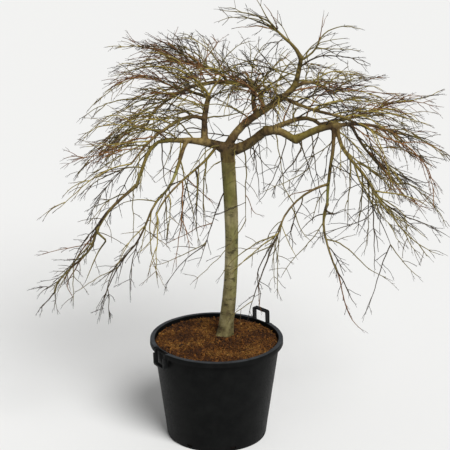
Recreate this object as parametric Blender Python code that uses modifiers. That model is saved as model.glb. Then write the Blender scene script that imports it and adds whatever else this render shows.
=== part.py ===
# Potted weeping japanese maple, bare in winter, in a large nursery pot with two hinged strap handles.
# Metres, +Z up. The origin is the middle of the pot's flat underside. +X is to the right and +Y away in the front view.
import math

import bmesh
import bpy
from mathutils import Matrix, Vector, noise

# ---------------------------------------------------------------- pot
POT_HEIGHT = 0.545
POT_BASE_R = 0.2635
POT_TOP_R = 0.333           # outside of the wall, just under the lip
WALL = 0.0045
FLOOR_Z = 0.012             # top of the pot's floor
LIP_R = 0.3515
LIP_DEPTH = 0.027           # height of the turned-down lip
LIP_WALL = 0.004
POT_SEGMENTS = 40
DRAIN_COUNT = 7
DRAIN_WIDTH = 0.030
DRAIN_HEIGHT = 0.013
DRAIN_FIRST = -32.0         # degrees to the left of the front

# handles: a flat strap bent to an upside-down U, turning on a rod that closes a gap in the lip
HANDLE_REAR_AZ = 44.0
HANDLE_FRONT_AZ = 212.0
HANDLE_REAR_TURN = -2.0     # leaning in against the top edge of the wall
HANDLE_FRONT_TURN = 182.0   # hanging straight down outside the wall
HINGE_R = 0.3400
HINGE_Z = 0.5335
ROD_R = 0.0032
EYE_R = 0.0080
EYE_HOLE_R = 0.0037
EYE_WIDTH = 0.0080
LIP_GAP = 0.1150            # width of the gap in the lip
LUG = 0.012
STRAP_SPAN = 0.106
STRAP_HEIGHT = 0.082
STRAP_THICK = 0.006
STRAP_IN = 0.0098           # how far the strap reaches inwards and outwards of the rod
STRAP_OUT = 0.0062
STRAP_CORNER = 0.012

# substrate
SOIL_Z = 0.5220
SOIL_EDGE_DROP = 0.008
FIT = 0.0003                # gap between neighbouring pieces

# ---------------------------------------------------------------- trunk
TRUNK_FOOT = (0.040, 0.058)
TRUNK_TOP_Z = 1.560
TRUNK_LEAN = (0.015, -0.006)
TRUNK_BOW = 0.032
TRUNK_R_FOOT = 0.0385
TRUNK_R_MID = 0.0345
TRUNK_R_TOP = 0.0380
FLARE = 0.0105               # how far the root flare stands out
FLARE_HEIGHT = 0.055
FLARE_LOBES = 5
LOBE_DEPTH = 0.10

# ---------------------------------------------------------------- limbs
# name, parent, place along the parent, heading at base/middle/tip (degrees from +X), rise at base/middle/tip (degrees),
# length, radius at the base and at the tip
LIMBS = [
    ("bough_right", "trunk", 1.0, (-15, -25, -15), (3, 36, 38), 0.24, 0.0270, 0.0220),
    ("bough_left", "trunk", 1.0, (-175, -170, -160), (33, 8, 8), 0.31, 0.0250, 0.0110),
    ("leader_low", "trunk", 1.0, (15, 10, 15), (74, 32, 50), 0.48, 0.0215, 0.0150),
    ("bough_left_riser", "bough_left", 0.37, (135, 75, 50), (85, 72, 65), 0.24, 0.0170, 0.0130),
    ("bough_left_arch", "bough_left_riser", 0.5, (-145, -130, -125), (29, -7, -8), 0.36, 0.0100, 0.0070),
    ("bough_left_front", "bough_left_arch", 1.0, (-120, -120, -130), (-12, -21, -35), 0.25, 0.0070, 0.0040),
    ("bough_left_outer", "bough_left", 1.0, (-160, -120, -145), (9, -44, -63), 0.32, 0.0100, 0.0085),
    ("weeper_left", "bough_left_outer", 1.0, (-150, -180, -170), (-32, -52, -79), 0.39, 0.0085, 0.0060),
    ("weeper_left_tip", "weeper_left", 1.0, (175, 170, 150), (-61, -44, -78), 0.35, 0.0060, 0.0040),
    ("bough_left_drop", "bough_left", 0.68, (-115, -115, -155), (-33, -48, -39), 0.33, 0.0110, 0.0065),
    ("weeper_left_inner", "bough_left_drop", 1.0, (-130, -135, -200), (-15, -58, -44), 0.35, 0.0065, 0.0040),
    ("bough_left_fore", "bough_left", 0.16, (-120, -125, -145), (-31, -15, -61), 0.57, 0.0075, 0.0040),
    ("leader_mid", "leader_low", 1.0, (0, 25, 10), (74, 77, 80), 0.14, 0.0130, 0.0110),
    ("leader_top", "leader_mid", 1.0, (-170, -165, -180), (69, 43, 58), 0.24, 0.0105, 0.0050),
    ("leader_top_right", "leader_mid", 0.93, (-20, -15, -30), (28, 46, 73), 0.14, 0.0060, 0.0040),
    ("riser_middle", "leader_low", 0.5, (170, 90, 130), (43, 59, 43), 0.15, 0.0130, 0.0105),
    ("arch_back_left", "riser_middle", 1.0, (165, 175, 185), (14, -3, -25), 0.36, 0.0105, 0.0080),
    ("arch_back_left_end", "arch_back_left", 1.0, (180, 210, 215), (-36, -31, -72), 0.27, 0.0080, 0.0050),
    ("bough_back_left", "arch_back_left", 0.35, (105, 135, 145), (20, 2, 7), 0.47, 0.0080, 0.0050),
    ("bough_back", "leader_low", 0.58, (95, 95, 110), (10, 2, -1), 0.54, 0.0120, 0.0060),
    ("bough_back_right", "leader_low", 0.93, (50, 60, 50), (19, -19, -25), 0.49, 0.0110, 0.0060),
    ("arch_right_upper", "leader_low", 0.82, (-45, -55, -45), (-10, 1, 2), 0.44, 0.0100, 0.0065),
    ("arch_right_fore", "arch_right_upper", 1.0, (-55, -50, -35), (-2, -7, -22), 0.30, 0.0065, 0.0040),
    ("bough_right_lower", "bough_right", 1.0, (-30, -35, -20), (21, -9, -32), 0.17, 0.0200, 0.0180),
    ("bough_right_upper", "bough_right", 0.97, (15, 30, 35), (15, 6, -50), 0.35, 0.0150, 0.0090),
    ("bough_right_rear", "bough_right_upper", 1.0, (40, 50, 40), (3, -5, 13), 0.50, 0.0090, 0.0050),
    ("bough_right_knee", "bough_right_lower", 1.0, (-15, -15, -5), (26, 26, 0), 0.23, 0.0180, 0.0180),
    ("bough_right_out", "bough_right_knee", 1.0, (5, 15, 20), (10, -13, -26), 0.33, 0.0100, 0.0060),
    ("weeper_right", "bough_right_knee", 0.90, (-70, -115, -85), (-59, -70, -76), 0.39, 0.0100, 0.0070),
    ("weeper_right_tip", "weeper_right", 1.0, (-175, -30, 0), (-66, -74, -64), 0.36, 0.0070, 0.0040),
    ("bough_right_sweep", "bough_right_knee", 1.0, (-90, -35, -40), (-66, -41, -65), 0.40, 0.0105, 0.0060),
    ("bough_right_outer", "bough_right_out", 0.2, (50, 40, 25), (-56, -47, -45), 0.51, 0.0080, 0.0050),
    ("weeper_right_inner", "weeper_right", 0.75, (-150, -145, -145), (-4, -31, -80), 0.40, 0.0065, 0.0040),
    ("bough_back_left_low", "bough_left_riser", 0.95, (110, 115, 115), (-6, -6, -8), 0.49, 0.0095, 0.0050),
]
STEP_LENGTH = 0.050
THICK_R = 0.0125            # limbs thicker than this get more sides
TIP_STEP = 0.3              # how far past its parent's tip a limb starts, in base radii

# ---------------------------------------------------------------- twig masses
# name, limb at whose tip it starts, heading, rise, length, width, roll of the sheet about its run (degrees)
MASSES = [
    ("mass_top", "leader_top", (165, 175, 185), (22, 8, -2), 0.26, 0.17, 88),
    ("mass_top_right", "leader_top_right", (20, -5, 0), (30, 0, -20), 0.23, 0.19, 80),
    ("mass_crest_left", "bough_back_left", (150, 165, 165), (12, 4, -8), 0.27, 0.28, 55),
    ("mass_left_shoulder", "bough_back_left_low", (150, 195, 205), (2, -8, -40), 0.46, 0.30, 25),
    ("mass_left_high", "arch_back_left_end", (200, 180, 185), (-30, -42, -50), 0.46, 0.26, 20),
    ("mass_left_front", "bough_left_front", (-145, -170, -180), (-28, -30, -25), 0.44, 0.24, 25),
    ("mass_left_low", "weeper_left_tip", (180, 190, 190), (-60, -50, -55), 0.13, 0.07, 30),
    ("mass_left_inner", "weeper_left_inner", (-150, -150, -165), (-52, -68, -78), 0.34, 0.17, 25),
    ("mass_left_fore", "bough_left_fore", (-75, -95, -95), (-62, -78, -80), 0.32, 0.20, 10),
    ("mass_right_inner", "weeper_right_inner", (-130, -150, 170), (-60, -62, -80), 0.36, 0.18, 15),
    ("mass_right_low", "weeper_right_tip", (-20, 0, 10), (-66, -68, -50), 0.30, 0.14, 15),
    ("mass_right_sweep", "bough_right_sweep", (-60, -30, -10), (-58, -38, -22), 0.42, 0.28, 20),
    ("mass_right_outer", "bough_right_outer", (30, 25, 15), (-30, -38, -60), 0.34, 0.28, 15),
    ("mass_right_out", "bough_right_out", (5, -5, -10), (-18, -24, -46), 0.27, 0.26, 20),
    ("mass_right_fore", "arch_right_fore", (-30, -35, -40), (-26, -44, -66), 0.40, 0.30, 15),
    ("mass_right_rear", "bough_right_rear", (20, 15, 5), (4, 0, -22), 0.30, 0.30, 20),
    ("mass_back_right", "bough_back_right", (50, 55, 60), (14, 6, -20), 0.30, 0.32, 15),
    ("mass_back", "bough_back", (100, 100, 95), (-2, -22, -50), 0.32, 0.42, 5),
    ("mass_crown_left", "bough_left_riser", (-160, -165, -170), (35, 14, -6), 0.32, 0.26, 15),
    ("mass_crown_centre", "riser_middle", (-70, -75, -80), (30, 8, -14), 0.34, 0.30, 5),
    ("mass_fore_centre", "leader_low", (-100, -98, -95), (12, -4, -38), 0.42, 0.30, 5),
]
# masses that leave the side of a limb and not its tip
MASS_PLACE = {"mass_crown_left": 0.93, "mass_crown_centre": 0.90, "mass_fore_centre": 0.64}
MASS_THICK = 0.016
MASS_START = 0.0015         # clear space between a limb and the mass that carries on from it
MASS_ROWS = 6
MASS_COLUMNS = 4

COLOURS = {
    "pot_plastic": ((0.022, 0.023, 0.024), 0.55),
    "substrate": ((0.16, 0.075, 0.03), 0.95),
    "bark_trunk": ((0.20, 0.17, 0.075), 0.8),
    "bark_bough": ((0.17, 0.15, 0.06), 0.8),
    "twigs": ((0.09, 0.05, 0.035), 0.85),
}


# ---------------------------------------------------------------- scene helpers
for old in list(bpy.data.objects):
    bpy.data.objects.remove(old, do_unlink=True)

parts = bpy.data.collections.new("potted_japanese_maple")
cutters = bpy.data.collections.new("cutters")
for collection in (parts, cutters):
    bpy.context.scene.collection.children.link(collection)

materials = {}
for label, (colour, rough) in COLOURS.items():
    material = bpy.data.materials.new(label)
    material.use_nodes = True
    shader = material.node_tree.nodes["Principled BSDF"]
    shader.inputs["Base Color"].default_value = (*colour, 1.0)
    shader.inputs["Roughness"].default_value = rough
    shader.inputs["Metallic"].default_value = 0.0
    materials[label] = material


def add_object(name, data, slot=None):
    obj = bpy.data.objects.new(name, data)
    if slot:
        own = materials[slot].copy()
        own.name = name + "_material"
        data.materials.clear()
        data.materials.append(own)
        parts.objects.link(obj)
    else:
        cutters.objects.link(obj)
        obj.hide_render = True
        obj.display_type = "WIRE"
    return obj


def boolean(obj, other, operation):
    mod = obj.modifiers.new(other.name, "BOOLEAN")
    mod.operation = operation
    mod.solver = "EXACT"
    mod.object = other


def screw(obj, segments):
    mod = obj.modifiers.new("turn", "SCREW")
    mod.steps = segments
    mod.render_steps = segments
    mod.use_merge_vertices = True
    mod.merge_threshold = 0.00002
    mod.use_smooth_shade = True


def profile_mesh(name, points, closed):
    mesh = bpy.data.meshes.new(name)
    bm = bmesh.new()
    verts = [bm.verts.new((r, 0.0, z)) for r, z in points]
    for a, b in zip(verts, verts[1:]):
        bm.edges.new((a, b))
    if closed:
        bm.edges.new((verts[-1], verts[0]))
    bm.to_mesh(mesh)
    bm.free()
    return mesh


def box_mesh(name, size):
    mesh = bpy.data.meshes.new(name)
    bm = bmesh.new()
    bmesh.ops.create_cube(bm, size=1.0)
    bmesh.ops.scale(bm, vec=size, verts=bm.verts)
    bm.to_mesh(mesh)
    bm.free()
    return mesh


def cylinder_mesh(name, radius, length, segments):
    # along local X
    mesh = bpy.data.meshes.new(name)
    bm = bmesh.new()
    bmesh.ops.create_cone(bm, cap_ends=True, segments=segments, radius1=radius, radius2=radius, depth=length,
                          matrix=Matrix.Rotation(math.pi / 2, 4, "Y"))
    bm.to_mesh(mesh)
    bm.free()
    return mesh


def rim_matrix(azimuth, radius, z, along=0.0):
    # local X runs along the rim, local Y up and local Z outwards
    a = math.radians(azimuth)
    out = Vector((math.cos(a), math.sin(a), 0.0))
    run = Vector((-math.sin(a), math.cos(a), 0.0))
    turn = Matrix((run, Vector((0, 0, 1)), out)).transposed().to_4x4()
    place = out * radius + run * along
    turn.translation = (place.x, place.y, z)
    return turn


def smooth(obj, angle=35.0):
    obj.data.shade_smooth()
    obj.data.set_sharp_from_angle(angle=math.radians(angle))


# ---------------------------------------------------------------- pot
taper = (POT_TOP_R - POT_BASE_R) / (POT_HEIGHT - LIP_DEPTH)


def wall_r(z):
    return min(POT_TOP_R, POT_BASE_R + taper * z)


wall_points = [
    (0.0, FLOOR_Z),
    (wall_r(FLOOR_Z) - WALL, FLOOR_Z),
    (POT_TOP_R - WALL, POT_HEIGHT - LIP_DEPTH),
    (POT_TOP_R - WALL, POT_HEIGHT),
    (POT_TOP_R, POT_HEIGHT),
    (POT_TOP_R, POT_HEIGHT - LIP_DEPTH),
    (POT_BASE_R + 0.0015, 0.008),
    (POT_BASE_R - 0.004, 0.0),
    (0.0, 0.0),
]
lip_points = [
    (POT_TOP_R - 0.002, POT_HEIGHT),
    (LIP_R - 0.003, POT_HEIGHT),
    (LIP_R, POT_HEIGHT - 0.003),
    (LIP_R + 0.001, POT_HEIGHT - LIP_DEPTH),
    (LIP_R + 0.001 - LIP_WALL, POT_HEIGHT - LIP_DEPTH),
    (LIP_R - LIP_WALL, POT_HEIGHT - LIP_WALL),
    (POT_TOP_R - 0.002, POT_HEIGHT - LIP_WALL),
]
pot = add_object("pot", profile_mesh("pot", wall_points, False), "pot_plastic")
screw(pot, POT_SEGMENTS)
lip = add_object("lip", profile_mesh("lip", lip_points, True))
screw(lip, POT_SEGMENTS)

for side, azimuth in (("rear", HANDLE_REAR_AZ), ("front", HANDLE_FRONT_AZ)):
    gap = add_object("lip_gap_" + side, box_mesh("lip_gap_" + side, (LIP_GAP, 0.08, 0.06)))
    gap.matrix_world = rim_matrix(azimuth, HINGE_R, HINGE_Z)
    boolean(lip, gap, "DIFFERENCE")
boolean(pot, lip, "UNION")
for side, azimuth in (("rear", HANDLE_REAR_AZ), ("front", HANDLE_FRONT_AZ)):
    for end in (-1, 1):
        lug = add_object("lug_%s_%d" % (side, end), box_mesh("lug_%s_%d" % (side, end), (LUG, LIP_DEPTH - 0.006, 0.0165)))
        lug.matrix_world = rim_matrix(azimuth, HINGE_R - 0.0015, POT_HEIGHT - 0.001 - (LIP_DEPTH - 0.006) / 2,
                                      end * (LIP_GAP + LUG - 0.0004) / 2)
        boolean(pot, lug, "UNION")
    rod = add_object("rod_" + side, cylinder_mesh("rod_" + side, ROD_R, LIP_GAP + LUG, 12))
    rod.matrix_world = rim_matrix(azimuth, HINGE_R, HINGE_Z)
    boolean(pot, rod, "UNION")
for i in range(DRAIN_COUNT):
    drain = add_object("drain_%d" % i, box_mesh("drain_%d" % i, (DRAIN_WIDTH, DRAIN_HEIGHT, 0.020)))
    drain.matrix_world = rim_matrix(-90.0 + DRAIN_FIRST + i * 360.0 / DRAIN_COUNT, POT_BASE_R - 0.001, FLOOR_Z + 0.001 + DRAIN_HEIGHT / 2)
    boolean(pot, drain, "DIFFERENCE")

# ---------------------------------------------------------------- substrate
soil_points = [
    (0.0, SOIL_Z),
    (POT_TOP_R * 0.5, SOIL_Z),
    (wall_r(SOIL_Z - SOIL_EDGE_DROP) - WALL - FIT, SOIL_Z - SOIL_EDGE_DROP),
    (wall_r(FLOOR_Z) - WALL - FIT * 1.5, FLOOR_Z + FIT),
    (0.0, FLOOR_Z + FIT),
]
soil = add_object("substrate", profile_mesh("substrate", soil_points, False), "substrate")
screw(soil, POT_SEGMENTS)


# ---------------------------------------------------------------- handles
def corner(cx, cy, radius, first, count):
    return [(cx + radius * math.cos(math.radians(first + 90.0 * k / count)),
             cy + radius * math.sin(math.radians(first + 90.0 * k / count))) for k in range(count + 1)]


def strap_outline():
    half = STRAP_SPAN / 2
    inner = half - STRAP_THICK
    top = STRAP_HEIGHT
    r_out, r_in = STRAP_CORNER, STRAP_CORNER - STRAP_THICK
    foot = -0.0022
    outline = [(half, foot)]
    outline += corner(half - r_out, top - r_out, r_out, 0, 4)
    outline += corner(-half + r_out, top - r_out, r_out, 90, 4)
    outline += [(-half, foot), (-inner, foot)]
    outline += corner(-half + r_out, top - r_out, r_in, 90, 4)[::-1]
    outline += corner(half - r_out, top - r_out, r_in, 0, 4)[::-1]
    outline += [(inner, foot)]
    return outline


def handle(name, azimuth, turned):
    outline = strap_outline()
    curve = bpy.data.curves.new(name + "_outline", "CURVE")
    curve.dimensions = "2D"
    curve.fill_mode = "BOTH"
    curve.extrude = (STRAP_IN + STRAP_OUT) / 2
    spline = curve.splines.new("POLY")
    spline.points.add(len(outline) - 1)
    for point, (x, y) in zip(spline.points, outline):
        point.co = (x, y, 0.0, 1.0)
    spline.use_cyclic_u = True
    flat = bpy.data.objects.new(name + "_outline", curve)
    parts.objects.link(flat)
    bpy.context.view_layer.update()
    evaluated = flat.evaluated_get(bpy.context.evaluated_depsgraph_get())
    mesh = bpy.data.meshes.new_from_object(evaluated)
    bpy.data.objects.remove(flat)
    bm = bmesh.new()
    bm.from_mesh(mesh)
    bmesh.ops.remove_doubles(bm, verts=bm.verts, dist=0.00001)
    bmesh.ops.translate(bm, vec=(0, 0, (STRAP_OUT - STRAP_IN) / 2), verts=bm.verts)
    bmesh.ops.recalc_face_normals(bm, faces=bm.faces)
    bm.to_mesh(mesh)
    bm.free()
    obj = add_object(name, mesh, "pot_plastic")
    place = rim_matrix(azimuth, HINGE_R, HINGE_Z) @ Matrix.Rotation(math.radians(turned), 4, "X")
    obj.matrix_world = place
    for end in (-1, 1):
        offset = end * (STRAP_SPAN / 2 - STRAP_THICK / 2)
        eye = add_object("%s_eye_%d" % (name, end), cylinder_mesh("%s_eye_%d" % (name, end), EYE_R, EYE_WIDTH, 12))
        eye.matrix_world = place @ Matrix.Translation((offset, 0, 0))
        boolean(obj, eye, "UNION")
    hole = add_object(name + "_hole", cylinder_mesh(name + "_hole", EYE_HOLE_R, STRAP_SPAN + 0.02, 12))
    hole.matrix_world = place
    boolean(obj, hole, "DIFFERENCE")
    return obj


handle("handle_rear", HANDLE_REAR_AZ, HANDLE_REAR_TURN)
handle("handle_front", HANDLE_FRONT_AZ, HANDLE_FRONT_TURN)


# ---------------------------------------------------------------- limb geometry
def bend(values, s):
    # a parabola through the values at the base, the middle and the tip
    a, m, b = values
    return a * (1 - s) * (1 - 2 * s) + m * 4 * s * (1 - s) + b * s * (2 * s - 1)


def direction(heading, rise, s):
    h, r = math.radians(bend(heading, s)), math.radians(bend(rise, s))
    return Vector((math.cos(r) * math.cos(h), math.cos(r) * math.sin(h), math.sin(r)))


def run_path(start, heading, rise, length, steps):
    points = [Vector(start)]
    for i in range(steps):
        points.append(points[-1] + direction(heading, rise, (i + 0.5) / steps) * (length / steps))
    return points


def trunk_point(s):
    return Vector((TRUNK_FOOT[0] + TRUNK_LEAN[0] * s + TRUNK_BOW * math.sin(math.pi * s ** 0.9),
                   TRUNK_FOOT[1] + TRUNK_LEAN[1] * s,
                   SOIL_Z + FIT + (TRUNK_TOP_Z - SOIL_Z - FIT) * s))


def trunk_radius(s):
    height = (TRUNK_TOP_Z - SOIL_Z) * s
    base = TRUNK_R_FOOT + (TRUNK_R_MID - TRUNK_R_FOOT) * min(1.0, s / 0.55)
    if s > 0.55:
        base += (TRUNK_R_TOP - TRUNK_R_MID) * ((s - 0.55) / 0.45) ** 2
    return base + FLARE * math.exp(-height / FLARE_HEIGHT * 1.6)


def along(points, s):
    lengths = [0.0]
    for a, b in zip(points, points[1:]):
        lengths.append(lengths[-1] + (b - a).length)
    want = s * lengths[-1]
    for i in range(len(points) - 1):
        if want <= lengths[i + 1] or i == len(points) - 2:
            t = (want - lengths[i]) / (lengths[i + 1] - lengths[i])
            return points[i].lerp(points[i + 1], min(max(t, 0.0), 1.0))


def tube_mesh(name, points, radii, sides):
    curve = bpy.data.curves.new(name, "CURVE")
    curve.dimensions = "3D"
    curve.bevel_depth = 1.0
    curve.bevel_resolution = (sides - 4) // 2
    curve.use_fill_caps = True
    curve.twist_mode = "MINIMUM"
    spline = curve.splines.new("POLY")
    spline.points.add(len(points) - 1)
    for point, place, radius in zip(spline.points, points, radii):
        point.co = (*place, 1.0)
        point.radius = radius
    temp = bpy.data.objects.new(name + "_curve", curve)
    parts.objects.link(temp)
    bpy.context.view_layer.update()
    mesh = bpy.data.meshes.new_from_object(temp.evaluated_get(bpy.context.evaluated_depsgraph_get()))
    bpy.data.objects.remove(temp)
    bpy.data.curves.remove(curve)
    bm = bmesh.new()
    bm.from_mesh(mesh)
    bmesh.ops.remove_doubles(bm, verts=bm.verts, dist=0.00001)
    bmesh.ops.recalc_face_normals(bm, faces=bm.faces)
    bm.to_mesh(mesh)
    bm.free()
    mesh.name = name
    return mesh


def grown(points, radii):
    # the same limb, thicker and longer by the fitting gap
    more = FIT * 1.4
    ends = [points[0] + (points[0] - points[1]).normalized() * more] + points[1:-1]
    ends.append(points[-1] + (points[-1] - points[-2]).normalized() * more)
    return ends, [r + more for r in radii]


# trunk: rings close together at the flared foot
trunk_s = [0.0, 0.012, 0.028, 0.05, 0.085] + [0.085 + (1 - 0.085) * k / 10 for k in range(1, 11)]
trunk_points = [trunk_point(s) for s in trunk_s]
trunk_points[1].x, trunk_points[1].y = trunk_points[0].x, trunk_points[0].y
trunk_points[-2].x, trunk_points[-2].y = trunk_points[-1].x, trunk_points[-1].y
trunk_radii = [trunk_radius(s) for s in trunk_s]


def lobed(mesh):
    foot = trunk_points[0]
    for vertex in mesh.vertices:
        height = vertex.co.z - foot.z
        centre = trunk_point(min(1.0, max(0.0, height / (TRUNK_TOP_Z - SOIL_Z))))
        out = Vector((vertex.co.x - centre.x, vertex.co.y - centre.y, 0))
        if out.length < 0.004:
            continue
        turn = math.atan2(out.y, out.x)
        amount = LOBE_DEPTH * math.exp(-height / FLARE_HEIGHT) * math.cos(FLARE_LOBES * turn + 0.8)
        amount += 0.03 * math.cos(2 * turn + 9.0 * height)
        vertex.co += out * amount


trunk_mesh = tube_mesh("trunk", trunk_points, trunk_radii, 12)
lobed(trunk_mesh)
trunk = add_object("trunk", trunk_mesh, "bark_trunk")
smooth(trunk, 50)
cut_points, cut_radii = grown(trunk_points, trunk_radii)
trunk_cutter_mesh = tube_mesh("trunk_space", cut_points, cut_radii, 12)
lobed(trunk_cutter_mesh)
trunk_cutter = add_object("trunk_space", trunk_cutter_mesh)

limb_paths = {"trunk": (trunk_points, trunk_radii)}
spaces = {"trunk": trunk_cutter}
starts = {}
for name, parent, place, heading, rise, length, r_base, r_tip in LIMBS:
    steps = max(4, round(length / STEP_LENGTH))
    start = along(limb_paths[parent][0], place)
    if place == 1.0:
        start = start + direction(heading, rise, 0.0) * (TIP_STEP * r_base)
    points = run_path(start, heading, rise, length, steps)
    radii = [r_base + (r_tip - r_base) * k / steps for k in range(steps + 1)]
    sides = 8 if r_base > THICK_R else 6
    limb_paths[name] = (points, radii)
    starts[name] = (parent, points[0], r_base)
    limb = add_object(name, tube_mesh(name, points, radii, sides), "bark_bough")
    smooth(limb, 60)
    cut_points, cut_radii = grown(points, radii)
    spaces[name] = add_object(name + "_space", tube_mesh(name + "_space", cut_points, cut_radii, sides))
    boolean(limb, spaces[parent], "DIFFERENCE")
    # limbs that leave the same place are fitted round the ones already there
    for other, (other_parent, other_start, other_r) in starts.items():
        if other != name and other_parent == parent and (other_start - points[0]).length < 2.2 * (other_r + r_base):
            boolean(limb, spaces[other], "DIFFERENCE")

# ---------------------------------------------------------------- twig masses
for index, (name, limb, heading, rise, length, width, roll) in enumerate(MASSES):
    host, radii = limb_paths[limb]
    place = MASS_PLACE.get(name, 1.0)
    first = direction(heading, rise, 0.0)
    if place == 1.0:
        last = (host[-1] - host[-2]).normalized()
        turned = math.sin(min(first.angle(last), math.pi / 2))
        clear = MASS_START + (MASS_THICK / 2 + radii[-1]) * turned
    else:
        clear = MASS_START + MASS_THICK / 2 + radii[0]
    start = along(host, place) + first * clear
    path = run_path(start, heading, rise, length, MASS_ROWS)
    mesh = bpy.data.meshes.new(name)
    bm = bmesh.new()
    bmesh.ops.create_grid(bm, x_segments=MASS_ROWS, y_segments=MASS_COLUMNS, size=1.0)
    for vertex in bm.verts:
        s = (vertex.co.x + 1) / 2
        t = vertex.co.y
        row = round(s * MASS_ROWS)
        ahead = direction(heading, rise, s)
        h = math.radians(bend(heading, s))
        across = Vector((math.sin(h), -math.cos(h), 0.0))
        lift = across.cross(ahead).normalized()
        across = across * math.cos(math.radians(roll)) + lift * math.sin(math.radians(roll))
        normal = across.cross(ahead).normalized()
        spread = 0.10 + 0.90 * math.sin(math.pi * min(1.0, s * 1.08 + 0.02) ** 0.9) ** 0.8 if s < 0.9 else 0.22
        uneven = 1.0 + 0.22 * noise.noise(Vector((s * 3.1, t * 2.0, index * 7.3)))
        half = width / 2 * spread * uneven
        sag = -0.16 * half * t * t + 0.012 * noise.noise(Vector((s * 4.0 + 9, t * 2.5, index * 3.7))) * min(1.0, s * 4)
        vertex.co = path[row] + across * (half * t) + normal * sag
    bm.to_mesh(mesh)
    bm.free()
    sheet = add_object(name, mesh, "twigs")
    smooth(sheet, 60)
    pad = sheet.modifiers.new("thickness", "SOLIDIFY")
    pad.thickness = MASS_THICK
    pad.offset = 0.0
    pad.use_even_offset = False
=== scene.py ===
# Looks for the potted weeping japanese maple: bark, bare boughs and twigs, bark mulch, pot and handles.
import math
import random

import bmesh
import bpy
import numpy as np
from mathutils import Matrix, Vector, noise


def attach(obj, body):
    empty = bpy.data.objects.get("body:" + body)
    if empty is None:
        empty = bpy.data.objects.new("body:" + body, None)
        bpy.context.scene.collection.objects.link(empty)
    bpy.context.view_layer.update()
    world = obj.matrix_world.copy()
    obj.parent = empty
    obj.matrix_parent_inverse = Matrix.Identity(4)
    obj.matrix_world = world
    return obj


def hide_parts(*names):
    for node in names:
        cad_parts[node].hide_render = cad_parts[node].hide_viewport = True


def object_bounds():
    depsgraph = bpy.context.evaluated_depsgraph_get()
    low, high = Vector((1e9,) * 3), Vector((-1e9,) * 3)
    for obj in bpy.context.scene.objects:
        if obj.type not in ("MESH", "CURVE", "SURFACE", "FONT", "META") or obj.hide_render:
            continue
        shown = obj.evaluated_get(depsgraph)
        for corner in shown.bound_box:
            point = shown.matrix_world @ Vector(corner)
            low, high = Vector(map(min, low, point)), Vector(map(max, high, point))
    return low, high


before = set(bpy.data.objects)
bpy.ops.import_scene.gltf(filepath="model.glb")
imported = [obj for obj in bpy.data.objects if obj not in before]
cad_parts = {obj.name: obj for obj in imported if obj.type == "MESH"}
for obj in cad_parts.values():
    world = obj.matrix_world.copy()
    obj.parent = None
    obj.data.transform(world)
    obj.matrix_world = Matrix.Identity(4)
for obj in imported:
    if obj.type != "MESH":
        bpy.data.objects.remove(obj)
cad_low, cad_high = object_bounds()
scene = bpy.context.scene
rng = random.Random(20477)
UP = Vector((0.0, 0.0, 1.0))

# ---------------------------------------------------------------- camera
LENS_PX = 1725.0
PITCH = 19.03
cam_data = bpy.data.cameras.new("camera")
cam_data.sensor_width = 36.0
cam_data.lens = LENS_PX * 36.0 / 450.0
cam_data.clip_end = 200.0
cam = bpy.data.objects.new("camera", cam_data)
cam.location = (0.0444, -8.4306, 4.0781)
cam.rotation_euler = (math.radians(90.0 - PITCH), 0.0, 0.0)
scene.collection.objects.link(cam)
scene.camera = cam

# ---------------------------------------------------------------- sizes shared with the CAD
SOIL_Z = 0.5220
SOIL_R = 0.3270
TRUNK_FOOT = (0.040, 0.058)
TRUNK_TOP_Z = 1.560
TRUNK_LEAN = (0.015, -0.006)
TRUNK_BOW = 0.032
TRUNK_R_FOOT = 0.0385
TRUNK_R_MID = 0.0345
TRUNK_R_TOP = 0.0380
FLARE = 0.0105
FLARE_HEIGHT = 0.055
FLARE_LOBES = 5
LOBE_DEPTH = 0.10
TIP_STEP = 0.3

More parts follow.
